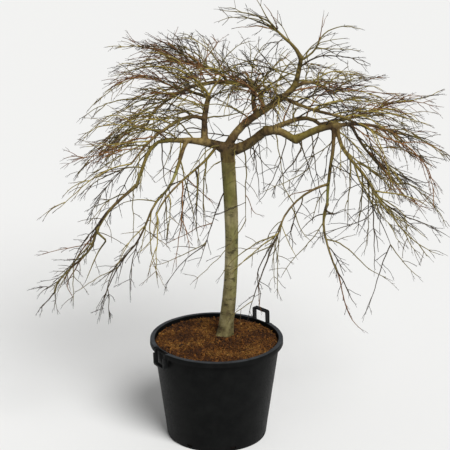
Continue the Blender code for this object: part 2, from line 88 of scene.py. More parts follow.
# name, parent, place along the parent, heading and rise at base/middle/tip (degrees), length, radius at base and tip
LIMBS = [
    ("bough_right", "trunk", 1.0, (-15, -25, -15), (3, 36, 38), 0.24, 0.0270, 0.0220),
    ("bough_left", "trunk", 1.0, (-175, -170, -160), (33, 8, 8), 0.31, 0.0250, 0.0110),
    ("leader_low", "trunk", 1.0, (15, 10, 15), (74, 32, 50), 0.48, 0.0215, 0.0150),
    ("bough_left_riser", "bough_left", 0.37, (135, 75, 50), (85, 72, 65), 0.24, 0.0170, 0.0130),
    ("bough_left_arch", "bough_left_riser", 0.5, (-145, -130, -125), (29, -7, -8), 0.36, 0.0100, 0.0070),
    ("bough_left_front", "bough_left_arch", 1.0, (-120, -120, -130), (-12, -21, -35), 0.25, 0.0070, 0.0040),
    ("bough_left_outer", "bough_left", 1.0, (-160, -120, -145), (9, -44, -63), 0.32, 0.0100, 0.0085),
    ("weeper_left", "bough_left_outer", 1.0, (-150, -180, -170), (-32, -52, -79), 0.39, 0.0085, 0.0060),
    ("weeper_left_tip", "weeper_left", 1.0, (175, 170, 150), (-61, -44, -78), 0.35, 0.0060, 0.0040),
    ("bough_left_drop", "bough_left", 0.68, (-115, -115, -155), (-33, -48, -39), 0.33, 0.0110, 0.0065),
    ("weeper_left_inner", "bough_left_drop", 1.0, (-130, -135, -200), (-15, -58, -44), 0.35, 0.0065, 0.0040),
    ("bough_left_fore", "bough_left", 0.16, (-120, -125, -145), (-31, -15, -61), 0.57, 0.0075, 0.0040),
    ("leader_mid", "leader_low", 1.0, (0, 25, 10), (74, 77, 80), 0.14, 0.0130, 0.0110),
    ("leader_top", "leader_mid", 1.0, (-170, -165, -180), (69, 43, 58), 0.24, 0.0105, 0.0050),
    ("leader_top_right", "leader_mid", 0.93, (-20, -15, -30), (28, 46, 73), 0.14, 0.0060, 0.0040),
    ("riser_middle", "leader_low", 0.5, (170, 90, 130), (43, 59, 43), 0.15, 0.0130, 0.0105),
    ("arch_back_left", "riser_middle", 1.0, (165, 175, 185), (14, -3, -25), 0.36, 0.0105, 0.0080),
    ("arch_back_left_end", "arch_back_left", 1.0, (180, 210, 215), (-36, -31, -72), 0.27, 0.0080, 0.0050),
    ("bough_back_left", "arch_back_left", 0.35, (105, 135, 145), (20, 2, 7), 0.47, 0.0080, 0.0050),
    ("bough_back", "leader_low", 0.58, (95, 95, 110), (10, 2, -1), 0.54, 0.0120, 0.0060),
    ("bough_back_right", "leader_low", 0.93, (50, 60, 50), (19, -19, -25), 0.49, 0.0110, 0.0060),
    ("arch_right_upper", "leader_low", 0.82, (-45, -55, -45), (-10, 1, 2), 0.44, 0.0100, 0.0065),
    ("arch_right_fore", "arch_right_upper", 1.0, (-55, -50, -35), (-2, -7, -22), 0.30, 0.0065, 0.0040),
    ("bough_right_lower", "bough_right", 1.0, (-30, -35, -20), (21, -9, -32), 0.17, 0.0200, 0.0180),
    ("bough_right_upper", "bough_right", 0.97, (15, 30, 35), (15, 6, -50), 0.35, 0.0150, 0.0090),
    ("bough_right_rear", "bough_right_upper", 1.0, (40, 50, 40), (3, -5, 13), 0.50, 0.0090, 0.0050),
    ("bough_right_knee", "bough_right_lower", 1.0, (-15, -15, -5), (26, 26, 0), 0.23, 0.0180, 0.0180),
    ("bough_right_out", "bough_right_knee", 1.0, (5, 15, 20), (10, -13, -26), 0.33, 0.0100, 0.0060),
    ("weeper_right", "bough_right_knee", 0.90, (-70, -115, -85), (-59, -70, -76), 0.39, 0.0100, 0.0070),
    ("weeper_right_tip", "weeper_right", 1.0, (-175, -30, 0), (-66, -74, -64), 0.36, 0.0070, 0.0040),
    ("bough_right_sweep", "bough_right_knee", 1.0, (-90, -35, -40), (-66, -41, -65), 0.40, 0.0105, 0.0060),
    ("bough_right_outer", "bough_right_out", 0.2, (50, 40, 25), (-56, -47, -45), 0.51, 0.0080, 0.0050),
    ("weeper_right_inner", "weeper_right", 0.75, (-150, -145, -145), (-4, -31, -80), 0.40, 0.0065, 0.0040),
    ("bough_back_left_low", "bough_left_riser", 0.95, (110, 115, 115), (-6, -6, -8), 0.49, 0.0095, 0.0050),
]

# leading shoots: name, limb or earlier shoot, place along it, heading and rise at base/middle/tip, length, radius at base, style
SHOOTS = [
    ("crest_long", "bough_back_left", 0.90, (170, 180, 185), (-8, -6, -2), 0.34, 0.0045, "dense"),
    ("crest_up", "bough_back_left", 1.0, (165, 175, 170), (45, 18, 48), 0.25, 0.0035, "middle"),
    ("crest_inner", "arch_back_left", 0.20, (140, 150, 160), (60, 48, 30), 0.27, 0.0038, "middle"),
    ("crest_low", "arch_back_left", 0.90, (170, 175, 175), (62, 35, -5), 0.20, 0.0030, "middle"),
    ("crest_rise", "bough_back_left", 0.12, (90, 100, 90), (80, 85, 85), 0.16, 0.0025, "light"),
    ("shoulder_a", "bough_left_riser", 0.75, (170, 180, 180), (18, 26, 22), 0.28, 0.0055, "middle"),
    ("shoulder_b", "bough_left_riser", 0.60, (180, 185, 190), (22, -3, -10), 0.46, 0.0048, "middle"),
    ("shoulder_c", "bough_left_riser", 0.20, (190, 200, 190), (60, -35, -85), 0.28, 0.0045, "light"),
    ("shoulder_d", "leader_low", 0.15, (175, 185, 190), (10, 5, 0), 0.30, 0.0040, "light"),
    ("shoulder_e", "bough_left_arch", 0.20, (200, 205, 200), (-20, -30, -50), 0.30, 0.0042, "middle"),
    ("shoulder_f", "bough_left", 1.0, (190, 185, 185), (55, -5, -55), 0.32, 0.0055, "dense"),
    ("outline_a", "arch_back_left_end", 0.35, (180, 185, 190), (10, -6, -40), 0.46, 0.0048, "middle"),
    ("outline_b", "arch_back_left_end", 0.05, (165, 175, 185), (30, 5, -35), 0.38, 0.0042, "middle"),
    ("outline_c", "arch_back_left_end", 0.75, (185, 190, 190), (-15, -28, -75), 0.34, 0.0040, "dense"),
    ("outline_d", "arch_back_left_end", 0.90, (190, 195, 200), (-5, -38, -28), 0.29, 0.0034, "dense"),
    ("outline_e", "arch_back_left_end", 0.95, (190, 190, 190), (-5, -35, -65), 0.24, 0.0042, "dense"),
    ("level_left", "bough_left_front", 0.25, (185, 190, 185), (-2, -2, -6), 0.32, 0.0040, "middle"),
    ("top_tip", "leader_top", 1.0, (175, 178, 180), (50, 60, 62), 0.15, 0.0040, "light"),
    ("top_left", "leader_top", 0.70, (178, 180, 182), (52, 10, -14), 0.34, 0.0034, "light"),
    ("top_left_b", "leader_top", 0.95, (185, 180, 180), (10, 22, 18), 0.18, 0.0028, "light"),
    ("top_left_c", "leader_top", 0.85, (180, 180, 180), (15, 8, -6), 0.20, 0.0028, "light"),
    ("top_drop", "leader_top", 0.60, (190, 185, 180), (-35, -48, -50), 0.15, 0.0028, "light"),
    ("top_second", "leader_low", 0.97, (185, 180, 180), (60, 42, 62), 0.29, 0.0040, "middle"),
    ("top_third", "leader_mid", 0.50, (180, 180, 180), (55, 40, 30), 0.14, 0.0030, "light"),
    ("top_right_a", "leader_top_right", 0.70, (-5, 0, 0), (5, -4, -8), 0.23, 0.0030, "light"),
    ("top_right_b", "leader_top_right", 0.85, (0, 0, 0), (45, 10, 0), 0.14, 0.0026, "light"),
    ("top_right_c", "leader_mid", 0.90, (0, -5, 0), (68, 45, 35), 0.19, 0.0028, "light"),
    ("top_right_e", "leader_top_right", 1.0, (-10, 0, 0), (75, 82, 84), 0.13, 0.0032, "light"),
    ("back_up", "bough_back_right", 1.0, (150, 150, 160), (70, 30, 42), 0.18, 0.0030, "light"),
    ("middle_arch", "riser_middle", 1.0, (100, 60, 20), (75, 50, 5), 0.30, 0.0042, "middle"),
    ("middle_right", "riser_middle", 1.0, (-10, 0, 0), (-15, -25, -25), 0.19, 0.0040, "light"),
    ("dark_loop", "bough_left_riser", 0.50, (-5, 5, 60), (22, 6, 85), 0.30, 0.0048, "light"),
    ("centre_a", "leader_low", 0.12, (-20, -15, -10), (10, -48, -38), 0.27, 0.0042, "light"),
    ("centre_b", "bough_right", 0.75, (-60, -40, -20), (-70, -80, -85), 0.26, 0.0028, "hang"),
    ("centre_hang", "bough_right", 0.35, (-80, -60, -90), (-70, -86, -88), 0.39, 0.0042, "hang"),
    ("centre_hang_low", "centre_hang", 1.0, (-160, -165, -170), (-60, -50, -40), 0.42, 0.0027, "hang"),
    ("centre_hang_side", "centre_hang", 0.65, (0, 0, 10), (-45, -70, -10), 0.14, 0.0024, "hang"),
    ("centre_cross", "centre_hang", 0.75, (180, 185, 185), (-25, -25, -8), 0.21, 0.0020, "hang"),
    ("knee_front", "bough_right_knee", 0.05, (-60, -40, -30), (-45, -65, -70), 0.27, 0.0042, "hang"),
    ("knee_back", "bough_right_knee", 0.12, (-60, -170, -160), (-60, -50, -78), 0.35, 0.0048, "hang"),
    ("upper_strand", "bough_right_upper", 0.05, (10, 20, 25), (-8, -8, 2), 0.17, 0.0055, "light"),
    ("upper_strand_b", "bough_right_upper", 0.20, (0, 15, 20), (12, -2, -16), 0.18, 0.0055, "light"),
    ("stem_shoot", "trunk", 0.84, (-165, -160, -150), (-60, -72, -66), 0.46, 0.0044, "hang"),
    ("stem_shoot_a", "stem_shoot", 0.76, (180, 185, 185), (-30, -24, -20), 0.28, 0.0030, "hang"),
    ("stem_shoot_b", "stem_shoot", 0.78, (185, 180, 180), (-38, -45, -60), 0.31, 0.0032, "hang"),
    ("stem_shoot_c", "stem_shoot", 0.52, (180, 180, 180), (-15, -28, -24), 0.27, 0.0028, "hang"),
    ("stem_shoot_d", "trunk", 0.95, (180, 190, 190), (-5, -45, -55), 0.19, 0.0030, "light"),
    ("left_loop", "bough_left_outer", 0.10, (-110, -60, -20), (-70, -80, -48), 0.28, 0.0040, "hang"),
    ("left_side", "bough_left", 0.95, (-90, -160, -170), (-75, -65, -40), 0.21, 0.0030, "light"),
    ("left_plumb", "bough_left", 0.38, (-90, -80, -90), (-80, -80, -85), 0.27, 0.0030, "hang"),
    ("drop_hang", "bough_left_drop", 0.35, (-60, -40, -30), (-70, -72, -82), 0.44, 0.0042, "hang"),
    ("drop_cross", "drop_hang", 0.22, (-10, -5, 0), (-30, -48, -45), 0.19, 0.0034, "light"),
    ("fore_hang_a", "bough_left_fore", 0.50, (-140, -150, -150), (-65, -78, -60), 0.32, 0.0032, "hang"),
    ("fore_hang_b", "bough_left_fore", 0.85, (-60, -70, -120), (-80, -85, -75), 0.21, 0.0030, "hang"),
    ("fore_hang_c", "bough_left_fore", 1.0, (-100, -150, -180), (-85, -60, -28), 0.23, 0.0036, "hang"),
    ("outer_hang", "bough_left_outer", 0.35, (-160, -160, -150), (-35, -60, -62), 0.43, 0.0038, "hang"),
    ("outer_hang_b", "outer_hang", 0.68, (185, 190, 185), (-20, -45, -50), 0.22, 0.0026, "light"),
    ("tail_branch", "weeper_left", 0.72, (-170, 180, 170), (-35, -55, -68), 0.37, 0.0068, "light"),
    ("tail_side", "weeper_left", 0.97, (180, 180, 180), (-20, -12, -16), 0.26, 0.0028, "hang"),
    ("tail_drop", "weeper_left_tip", 0.45, (-100, -100, -60), (-80, -84, -75), 0.19, 0.0028, "hang"),
    ("tail_plumb", "weeper_left", 0.05, (-100, -90, -120), (-75, -86, -78), 0.24, 0.0030, "hang"),
    ("inner_long", "weeper_left_inner", 1.0, (-170, -170, -170), (-52, -66, -80), 0.38, 0.0040, "hang"),
    ("inner_side", "inner_long", 0.25, (180, 180, 180), (-25, -32, -32), 0.25, 0.0027, "hang"),
    ("inner_side_b", "weeper_left_inner", 0.95, (185, 185, 185), (-48, -44, -38), 0.24, 0.0027, "hang"),
    ("right_fall", "bough_back_right", 0.45, (0, -10, -20), (-20, -38, -52), 0.27, 0.0040, "middle"),
    ("right_level", "bough_back_right", 0.90, (10, 0, -5), (5, -5, 0), 0.38, 0.0040, "middle"),
    ("right_level_b", "bough_back_right", 1.0, (20, 10, 10), (25, 18, 10), 0.27, 0.0035, "middle"),
    ("right_level_c", "leader_low", 0.90, (15, 10, 5), (5, -2, -20), 0.47, 0.0052, "middle"),
    ("right_rise", "bough_right_rear", 0.95, (20, 10, 5), (25, 5, 38), 0.36, 0.0048, "middle"),
    ("right_out_a", "bough_right_rear", 0.60, (-10, -5, 0), (-8, -12, -8), 0.37, 0.0040, "middle"),
    ("right_out_b", "bough_right_rear", 0.95, (-5, 0, 0), (-25, -15, -8), 0.29, 0.0040, "middle"),
    ("knee_fall", "bough_right_knee", 0.85, (-30, -20, -40), (-30, -40, -85), 0.34, 0.0048, "middle"),
    ("out_fall", "bough_right_out", 0.70, (10, 0, 0), (-50, -38, -25), 0.34, 0.0036, "middle"),
    ("outer_level", "bough_right_outer", 0.35, (0, -5, 0), (0, -12, -30), 0.31, 0.0036, "middle"),
    ("outer_fall", "bough_right_outer", 0.45, (-10, -20, -10), (-35, -50, -12), 0.43, 0.0048, "middle"),
    ("outer_fall_b", "bough_right_outer", 0.55, (0, -10, -20), (-45, -40, -80), 0.30, 0.0032, "light"),
    ("sweep_level", "bough_right_sweep", 0.95, (0, 5, 0), (-12, -15, -30), 0.28, 0.0048, "middle"),
    ("sweep_a", "bough_right_sweep", 1.0, (-10, -20, -150), (-35, -35, -75), 0.27, 0.0040, "light"),
    ("sweep_b", "bough_right_sweep", 1.0, (-20, -10, -5), (-55, -35, -42), 0.34, 0.0042, "light"),
    ("sweep_c", "bough_right_sweep", 1.0, (-10, 0, 0), (-42, -28, -34), 0.42, 0.0050, "middle"),
    ("sweep_back", "bough_right_sweep", 1.0, (-90, -170, -175), (-85, -20, -52), 0.42, 0.0030, "hang"),
    ("hang_right", "bough_right_sweep", 0.80, (-100, -20, -20), (-80, -62, -72), 0.36, 0.0042, "hang"),
    ("hang_right_a", "hang_right", 0.97, (-160, -160, -150), (-55, -75, -62), 0.38, 0.0031, "hang"),
    ("hang_right_b", "hang_right", 0.97, (-10, -5, 0), (-62, -50, -38), 0.22, 0.0029, "hang"),
    ("hang_inner", "bough_right_sweep", 0.85, (175, 185, 190), (5, -50, -75), 0.30, 0.0028, "hang"),
    ("hang_plumb", "bough_right_sweep", 0.82, (-90, -90, -170), (-86, -88, -75), 0.36, 0.0030, "hang"),
    ("weeper_side", "weeper_right", 0.50, (0, 0, 0), (-20, -22, -12), 0.20, 0.0030, "light"),
    ("cross_bough", "weeper_right", 1.0, (-175, 180, 190), (-50, -5, -45), 0.33, 0.0060, "light"),
    ("cross_hang", "cross_bough", 0.12, (-160, -175, -170), (-80, -50, -62), 0.40, 0.0032, "hang"),
    ("inner_front_a", "weeper_right_inner", 1.0, (180, 185, 190), (-10, -35, -58), 0.37, 0.0042, "hang"),
    ("inner_front_b", "weeper_right_inner", 0.97, (185, 190, 190), (-40, -35, -52), 0.31, 0.0042, "hang"),
    ("inner_hang", "weeper_right_inner", 0.98, (-170, -150, -150), (-62, -68, -72), 0.44, 0.0052, "hang"),
    ("inner_hang_a", "inner_hang", 0.14, (180, 180, 185), (-15, -35, -55), 0.23, 0.0034, "hang"),
    ("inner_hang_b", "inner_hang", 0.62, (-70, -60, -60), (-80, -78, -74), 0.13, 0.0022, "light"),
    ("inner_hang_c", "inner_hang", 0.82, (180, 185, 190), (-30, -36, -40), 0.14, 0.0026, "light"),
    ("inner_plumb", "weeper_right_inner", 1.0, (-90, -90, -90), (-85, -88, -88), 0.31, 0.0026, "hang"),
    ("inner_back", "weeper_right_inner", 0.85, (-20, -10, 0), (-70, -66, -60), 0.18, 0.0025, "light"),
    ("inner_loop", "weeper_right_inner", 0.60, (-30, -10, 0), (-55, -70, -30), 0.19, 0.0036, "light"),
    ("inner_spur", "weeper_right_inner", 0.55, (150, 160, 160), (60, 55, 60), 0.12, 0.0030, "light"),
    ("riser_fork_a", "bough_left_riser", 1.0, (160, 175, 185), (55, 20, -15), 0.42, 0.0080, "middle"),
    ("riser_fork_b", "bough_left_riser", 1.0, (30, 20, 10), (60, 30, 0), 0.34, 0.0062, "middle"),
    ("riser_fork_c", "bough_left_riser", 0.85, (-60, -40, -30), (50, 20, -10), 0.30, 0.0046, "middle"),
    ("riser_back", "bough_left_riser", 0.90, (120, 130, 140), (45, 20, 0), 0.40, 0.0052, "middle"),
    ("arch_up_a", "arch_back_left", 0.35, (150, 160, 170), (70, 40, 5), 0.36, 0.0044, "middle"),
    ("arch_up_b", "arch_back_left", 0.55, (60, 40, 30), (65, 35, 5), 0.32, 0.0042, "middle"),
    ("arch_up_c", "arch_back_left", 0.75, (150, 170, 175), (60, 25, -10), 0.34, 0.0042, "dense"),
    ("arch_front_a", "arch_back_left", 0.45, (-120, -135, -150), (20, -15, -45), 0.36, 0.0044, "middle"),
    ("arch_front_b", "arch_back_left", 0.15, (-100, -110, -130), (30, -10, -45), 0.34, 0.0044, "middle"),
    ("middle_up", "riser_middle", 0.60, (20, 40, 50), (60, 40, 10), 0.34, 0.0044, "middle"),
    ("middle_left", "riser_middle", 0.80, (-160, -170, -180), (50, 15, -20), 0.38, 0.0048, "middle"),
    ("middle_front", "riser_middle", 0.50, (-80, -85, -90), (40, 0, -35), 0.34, 0.0044, "middle"),
    ("leader_side_a", "leader_low", 0.60, (150, 160, 165), (60, 30, 5), 0.38, 0.0050, "middle"),
    ("leader_side_b", "leader_low", 0.72, (-60, -40, -20), (40, 5, -30), 0.36, 0.0046, "middle"),
    ("leader_side_c", "leader_low", 0.80, (140, 150, 160), (50, 35, 10), 0.36, 0.0044, "middle"),
    ("leader_side_d", "leader_low", 0.40, (-150, -165, -175), (45, 15, -25), 0.36, 0.0044, "middle"),
    ("leader_back", "leader_low", 0.70, (80, 70, 60), (50, 20, -5), 0.42, 0.0050, "middle"),
    ("mid_side_a", "leader_mid", 0.35, (170, 178, 180), (20, 5, -25), 0.40, 0.0044, "middle"),
    ("mid_side_b", "leader_mid", 0.10, (30, 20, 10), (4, -4, -14), 0.34, 0.0040, "light"),
    ("back_side_a", "bough_back", 0.30, (160, 168, 172), (45, 15, -15), 0.46, 0.0050, "dense"),
    ("back_side_b", "bough_back", 0.40, (20, 25, 30), (45, 15, -15), 0.44, 0.0050, "dense"),
    ("back_side_c", "bough_back", 0.70, (150, 160, 170), (40, 10, -20), 0.40, 0.0044, "dense"),
    ("back_side_d", "bough_back", 0.75, (30, 25, 20), (40, 10, -20), 0.40, 0.0044, "dense"),
    ("upper_side_a", "bough_right_upper", 0.30, (70, 60, 50), (50, 20, -10), 0.38, 0.0048, "middle"),
    ("upper_side_b", "bough_right_upper", 0.50, (-20, -10, 0), (40, 10, -25), 0.36, 0.0046, "middle"),
    ("upper_side_c", "bough_right_upper", 0.70, (60, 50, 40), (50, 15, -15), 0.36, 0.0044, "middle"),
    ("arch_side_a", "arch_right_upper", 0.30, (20, 20, 10), (40, 15, -15), 0.38, 0.0046, "middle"),
    ("arch_side_b", "arch_right_upper", 0.60, (-10, -10, -10), (40, 10, -25), 0.36, 0.0044, "middle"),
    ("fork_front_a", "bough_right", 0.15, (-95, -90, -85), (20, -10, -50), 0.40, 0.0046, "light"),
    ("fork_front_b", "bough_left", 0.10, (-110, -120, -130), (25, -10, -50), 0.36, 0.0044, "light"),
    ("under_a", "bough_right_lower", 0.30, (-80, -60, -50), (-50, -72, -84), 0.34, 0.0034, "hang"),
    ("under_b", "bough_right_lower", 0.70, (-110, -140, -160), (-60, -62, -50), 0.36, 0.0034, "hang"),
    ("under_c", "bough_right_knee", 0.40, (-90, -60, -40), (-50, -70, -80), 0.36, 0.0036, "hang"),
    ("under_d", "bough_right_knee", 0.60, (-120, -150, -165), (-60, -64, -56), 0.36, 0.0034, "hang"),
    ("under_e", "leader_low", 0.35, (-80, -70, -60), (-20, -60, -80), 0.40, 0.0036, "hang"),
    ("under_f", "knee_front", 0.60, (-150, -165, -170), (-30, -20, -30), 0.26, 0.0028, "hang"),
    ("under_g", "weeper_right", 0.20, (170, 175, 180), (-50, -40, -55), 0.26, 0.0030, "hang"),
    ("under_h", "weeper_right", 0.40, (-20, -10, 0), (-40, -45, -60), 0.28, 0.0030, "hang"),
    ("under_i", "bough_right_out", 0.40, (-60, -50, -40), (-50, -60, -75), 0.36, 0.0036, "middle"),
    ("under_back_a", "bough_right_upper", 0.60, (100, 95, 90), (-20, -55, -80), 0.42, 0.0036, "hang"),
    ("under_back_b", "bough_back", 0.30, (80, 80, 80), (-30, -60, -82), 0.44, 0.0036, "hang"),
    ("under_back_c", "bough_back", 0.70, (120, 110, 100), (-30, -55, -80), 0.46, 0.0038, "hang"),
    ("under_back_d", "bough_back_left_low", 0.60, (150, 150, 150), (-30, -60, -80), 0.44, 0.0036, "hang"),
    ("under_back_e", "bough_back_right", 0.70, (40, 45, 50), (-40, -60, -80), 0.42, 0.0036, "hang"),
    ("fork_left_a", "bough_left", 0.55, (150, 165, 175), (60, 20, -20), 0.36, 0.0048, "middle"),
    ("fork_left_b", "bough_left", 0.80, (-160, -170, -175), (40, 5, -35), 0.36, 0.0048, "middle"),
    ("outer_side_a", "bough_left_outer", 0.30, (-170, -175, 180), (10, -20, -45), 0.38, 0.0046, "middle"),
    ("outer_side_b", "bough_left_outer", 0.70, (170, 175, 180), (0, -25, -45), 0.36, 0.0044, "middle"),
    ("tail_branch_b", "weeper_left", 0.80, (170, 178, 182), (-48, -58, -64), 0.33, 0.0048, "light"),
    ("tail_branch_c", "weeper_left_tip", 0.20, (-170, -178, 178), (-52, -60, -66), 0.30, 0.0044, "light"),
    ("low_side", "weeper_right_tip", 0.50, (0, 0, 5), (-15, -42, -22), 0.38, 0.0042, "hang"),
    ("low_end", "weeper_right_tip", 1.0, (0, 0, 0), (-68, -76, -30), 0.35, 0.0040, "hang"),
]

# sprays of twigs: CAD mass it stands for (or None), limb, places along it where its leaders start, number of leaders,
# heading and rise at base/middle/tip, length, half fan of the headings (degrees), style
SPRAYS = [
    ("mass_top", "leader_top", (0.45, 1.0), 3, (165, 175, 185), (30, 12, 0), 0.27, 30, "light"),
    ("mass_top_right", "leader_top_right", (0.2, 1.0), 2, (20, -5, 0), (55, 14, -8), 0.25, 45, "light"),
    ("mass_crest_left", "bough_back_left", (0.4, 1.0), 5, (150, 165, 165), (22, 6, -8), 0.32, 38, "dense"),
    ("mass_left_shoulder", "bough_back_left_low", (0.4, 1.0), 5, (150, 195, 205), (10, -8, -40), 0.46, 34, "dense"),
    ("mass_left_high", "arch_back_left_end", (0.1, 1.0), 5, (200, 180, 185), (-10, -40, -50), 0.47, 34, "dense"),
    ("mass_left_front", "bough_left_front", (0.1, 1.0), 5, (-145, -170, -180), (-10, -30, -34), 0.45, 30, "dense"),
    ("mass_left_low", "weeper_left_tip", (0.55, 1.0), 3, (180, 190, 190), (-60, -50, -55), 0.14, 18, "light"),
    ("mass_left_inner", "weeper_left_inner", (0.3, 1.0), 4, (-150, -150, -165), (-48, -66, -78), 0.36, 30, "light"),
    ("mass_left_fore", "bough_left_fore", (0.4, 1.0), 4, (-85, -95, -95), (-56, -76, -80), 0.34, 34, "light"),
    ("mass_right_inner", "weeper_right_inner", (0.4, 1.0), 4, (-130, -150, 170), (-55, -62, -80), 0.37, 28, "light"),
    ("mass_right_low", "weeper_right_tip", (0.6, 1.0), 2, (-20, 0, 10), (-62, -66, -50), 0.20, 28, "hang"),
    ("mass_right_sweep", "bough_right_sweep", (0.3, 1.0), 4, (-60, -30, -10), (-54, -38, -22), 0.43, 32, "dense"),
    ("mass_right_outer", "bough_right_outer", (0.3, 1.0), 5, (30, 25, 15), (-24, -38, -60), 0.35, 36, "dense"),
    ("mass_right_out", "bough_right_out", (0.2, 1.0), 5, (5, -5, -10), (-6, -24, -46), 0.29, 40, "dense"),
    ("mass_right_fore", "arch_right_fore", (0.1, 1.0), 4, (-30, -35, -40), (-12, -42, -66), 0.41, 36, "dense"),
    ("mass_right_rear", "bough_right_rear", (0.3, 1.0), 5, (20, 15, 5), (14, 0, -26), 0.31, 40, "dense"),
    ("mass_back_right", "bough_back_right", (0.3, 1.0), 6, (50, 55, 60), (22, 4, -24), 0.31, 42, "dense"),
    ("mass_back", "bough_back", (0.3, 1.0), 7, (100, 100, 95), (14, -20, -50), 0.33, 52, "dense"),
    ("mass_crown_left", "bough_left_riser", (0.6, 0.97), 4, (-160, -165, -170), (45, 12, -10), 0.35, 42, "middle"),
    ("mass_crown_centre", "riser_middle", (0.5, 0.95), 4, (-70, -75, -80), (45, 6, -20), 0.34, 48, "middle"),
    ("mass_fore_centre", "leader_low", (0.5, 0.8), 4, (-100, -98, -95), (30, -6, -44), 0.42, 42, "middle"),
    (None, "weeper_left", (0.35, 0.95), 3, (-170, -180, -180), (-46, -55, -70), 0.34, 26, "light"),
    (None, "bough_left_fore", (0.2, 0.6), 3, (-90, -110, -120), (-50, -72, -80), 0.40, 30, "light"),
    (None, "bough_right_sweep", (0.45, 0.9), 3, (-90, -80, -80), (-66, -76, -80), 0.40, 30, "light"),
    (None, "leader_mid", (0.1, 0.6), 1, (-20, -20, -20), (45, 6, -18), 0.35, 44, "middle"),
    (None, "bough_back_left", (0.3, 0.8), 5, (115, 120, 125), (28, 5, -28), 0.35, 42, "dense"),
    (None, "arch_right_upper", (0.2, 0.9), 3, (10, -5, -10), (12, -4, -26), 0.42, 42, "dense"),
    (None, "bough_left_arch", (0.2, 0.9), 4, (-165, -175, -180), (24, -8, -42), 0.42, 38, "dense"),
    (None, "arch_back_left", (0.2, 0.95), 6, (150, 165, 175), (50, 10, -16), 0.35, 46, "dense"),
]

# limbs that carry shoots of their own on both sides: spacing, length, angle off the limb, extra rise at base/middle/tip, style
LIMB_SHOOTS = [
    ("bough_left_arch", 0.120, 0.30, 46, (28, -6, -38), "dense"),
    ("bough_left_front", 0.110, 0.28, 44, (20, -8, -30), "dense"),
    ("bough_left_outer", 0.131, 0.24, 48, (34, -5, -34), "light"),
    ("weeper_left", 0.123, 0.20, 44, (32, 8, -18), "light"),
    ("weeper_left_tip", 0.109, 0.16, 42, (24, 6, -12), "light"),
    ("bough_left_drop", 0.116, 0.24, 46, (30, 0, -32), "light"),
    ("weeper_left_inner", 0.116, 0.19, 44, (26, 6, -18), "light"),
    ("bough_left_fore", 0.131, 0.24, 46, (10, -34, -54), "light"),
    ("leader_top", 0.102, 0.18, 46, (12, 4, -8), "light"),
    ("leader_mid", 0.150, 0.18, 54, (-20, -40, -64), "light"),
    ("arch_back_left", 0.087, 0.30, 50, (28, -4, -34), "dense"),
    ("arch_back_left_end", 0.105, 0.30, 44, (30, 4, -24), "dense"),
    ("bough_back_left", 0.087, 0.30, 48, (24, -6, -28), "dense"),
    ("bough_back", 0.090, 0.34, 54, (18, -12, -40), "dense"),
    ("bough_back_right", 0.090, 0.32, 52, (24, -6, -24), "dense"),
    ("arch_right_upper", 0.090, 0.32, 50, (20, -10, -38), "dense"),
    ("arch_right_fore", 0.115, 0.30, 46, (22, -8, -32), "dense"),
    ("bough_right_upper", 0.109, 0.28, 54, (28, -4, -34), "middle"),
    ("bough_right_rear", 0.087, 0.32, 50, (20, -8, -28), "dense"),
    ("bough_right_knee", 0.116, 0.26, 58, (20, -34, -64), "light"),
    ("bough_right_out", 0.105, 0.30, 48, (24, -6, -30), "dense"),
    ("bough_right_outer", 0.110, 0.28, 46, (28, 2, -22), "dense"),
    ("bough_right_sweep", 0.125, 0.25, 46, (28, 4, -24), "middle"),
    ("weeper_right", 0.123, 0.20, 50, (42, 10, -18), "light"),
    ("weeper_right_tip", 0.150, 0.12, 50, (32, 6, -14), "hang"),
    ("weeper_right_inner", 0.109, 0.19, 46, (24, 0, -26), "light"),
    ("bough_back_left_low", 0.087, 0.32, 50, (22, -8, -34), "dense"),
    ("bough_left_riser", 0.116, 0.22, 62, (-30, -60, -80), "light"),
    ("riser_middle", 0.102, 0.20, 62, (-10, -36, -64), "middle"),
    ("leader_low", 0.123, 0.26, 62, (0, -36, -64), "light"),
    ("bough_right", 0.160, 0.30, 70, (-30, -60, -78), "light"),
    ("bough_left", 0.131, 0.26, 70, (-20, -56, -78), "light"),
]

# styles: node spacing, twig length, chance of each twig of a pair, twiglet spacing, twiglet length, chance of a twiglet
STYLES = {
    "dense": (0.058, 0.132, 0.52, 0.052, 0.046, 0.22),
    "middle": (0.062, 0.118, 0.52, 0.052, 0.044, 0.24),
    "light": (0.070, 0.095, 0.50, 0.052, 0.038, 0.20),
    "hang": (0.072, 0.105, 0.52, 0.050, 0.034, 0.18),
}
COLOUR_SHARE = {
    "dense": (0.30, 0.24, 0.18, 0.28),
    "middle": (0.32, 0.20, 0.18, 0.30),
    "light": (0.42, 0.12, 0.34, 0.12),
    "hang": (0.44, 0.10, 0.38, 0.08),
}


# ---------------------------------------------------------------- helpers
def bend(values, s):
    a, m, b = values
    return a * (1 - s) * (1 - 2 * s) + m * 4 * s * (1 - s) + b * s * (2 * s - 1)


def unit(heading, rise):
    h, r = math.radians(heading), math.radians(rise)
    return Vector((math.cos(r) * math.cos(h), math.cos(r) * math.sin(h), math.sin(r)))


def direction(heading, rise, s):
    return unit(bend(heading, s), bend(rise, s))


def run_path(start, heading, rise, length, steps):
    points = [Vector(start)]
    for i in range(steps):
        points.append(points[-1] + direction(heading, rise, (i + 0.5) / steps) * (length / steps))
    return points


def along(points, s):
    # place and direction at a fraction of a path's length
    lengths = [0.0]
    for a, b in zip(points, points[1:]):
        lengths.append(lengths[-1] + (b - a).length)
    want = s * lengths[-1]
    for i in range(len(points) - 1):
        if want <= lengths[i + 1] or i == len(points) - 2:
            t = min(max((want - lengths[i]) / (lengths[i + 1] - lengths[i]), 0.0), 1.0)
            return points[i].lerp(points[i + 1], t), (points[i + 1] - points[i]).normalized()


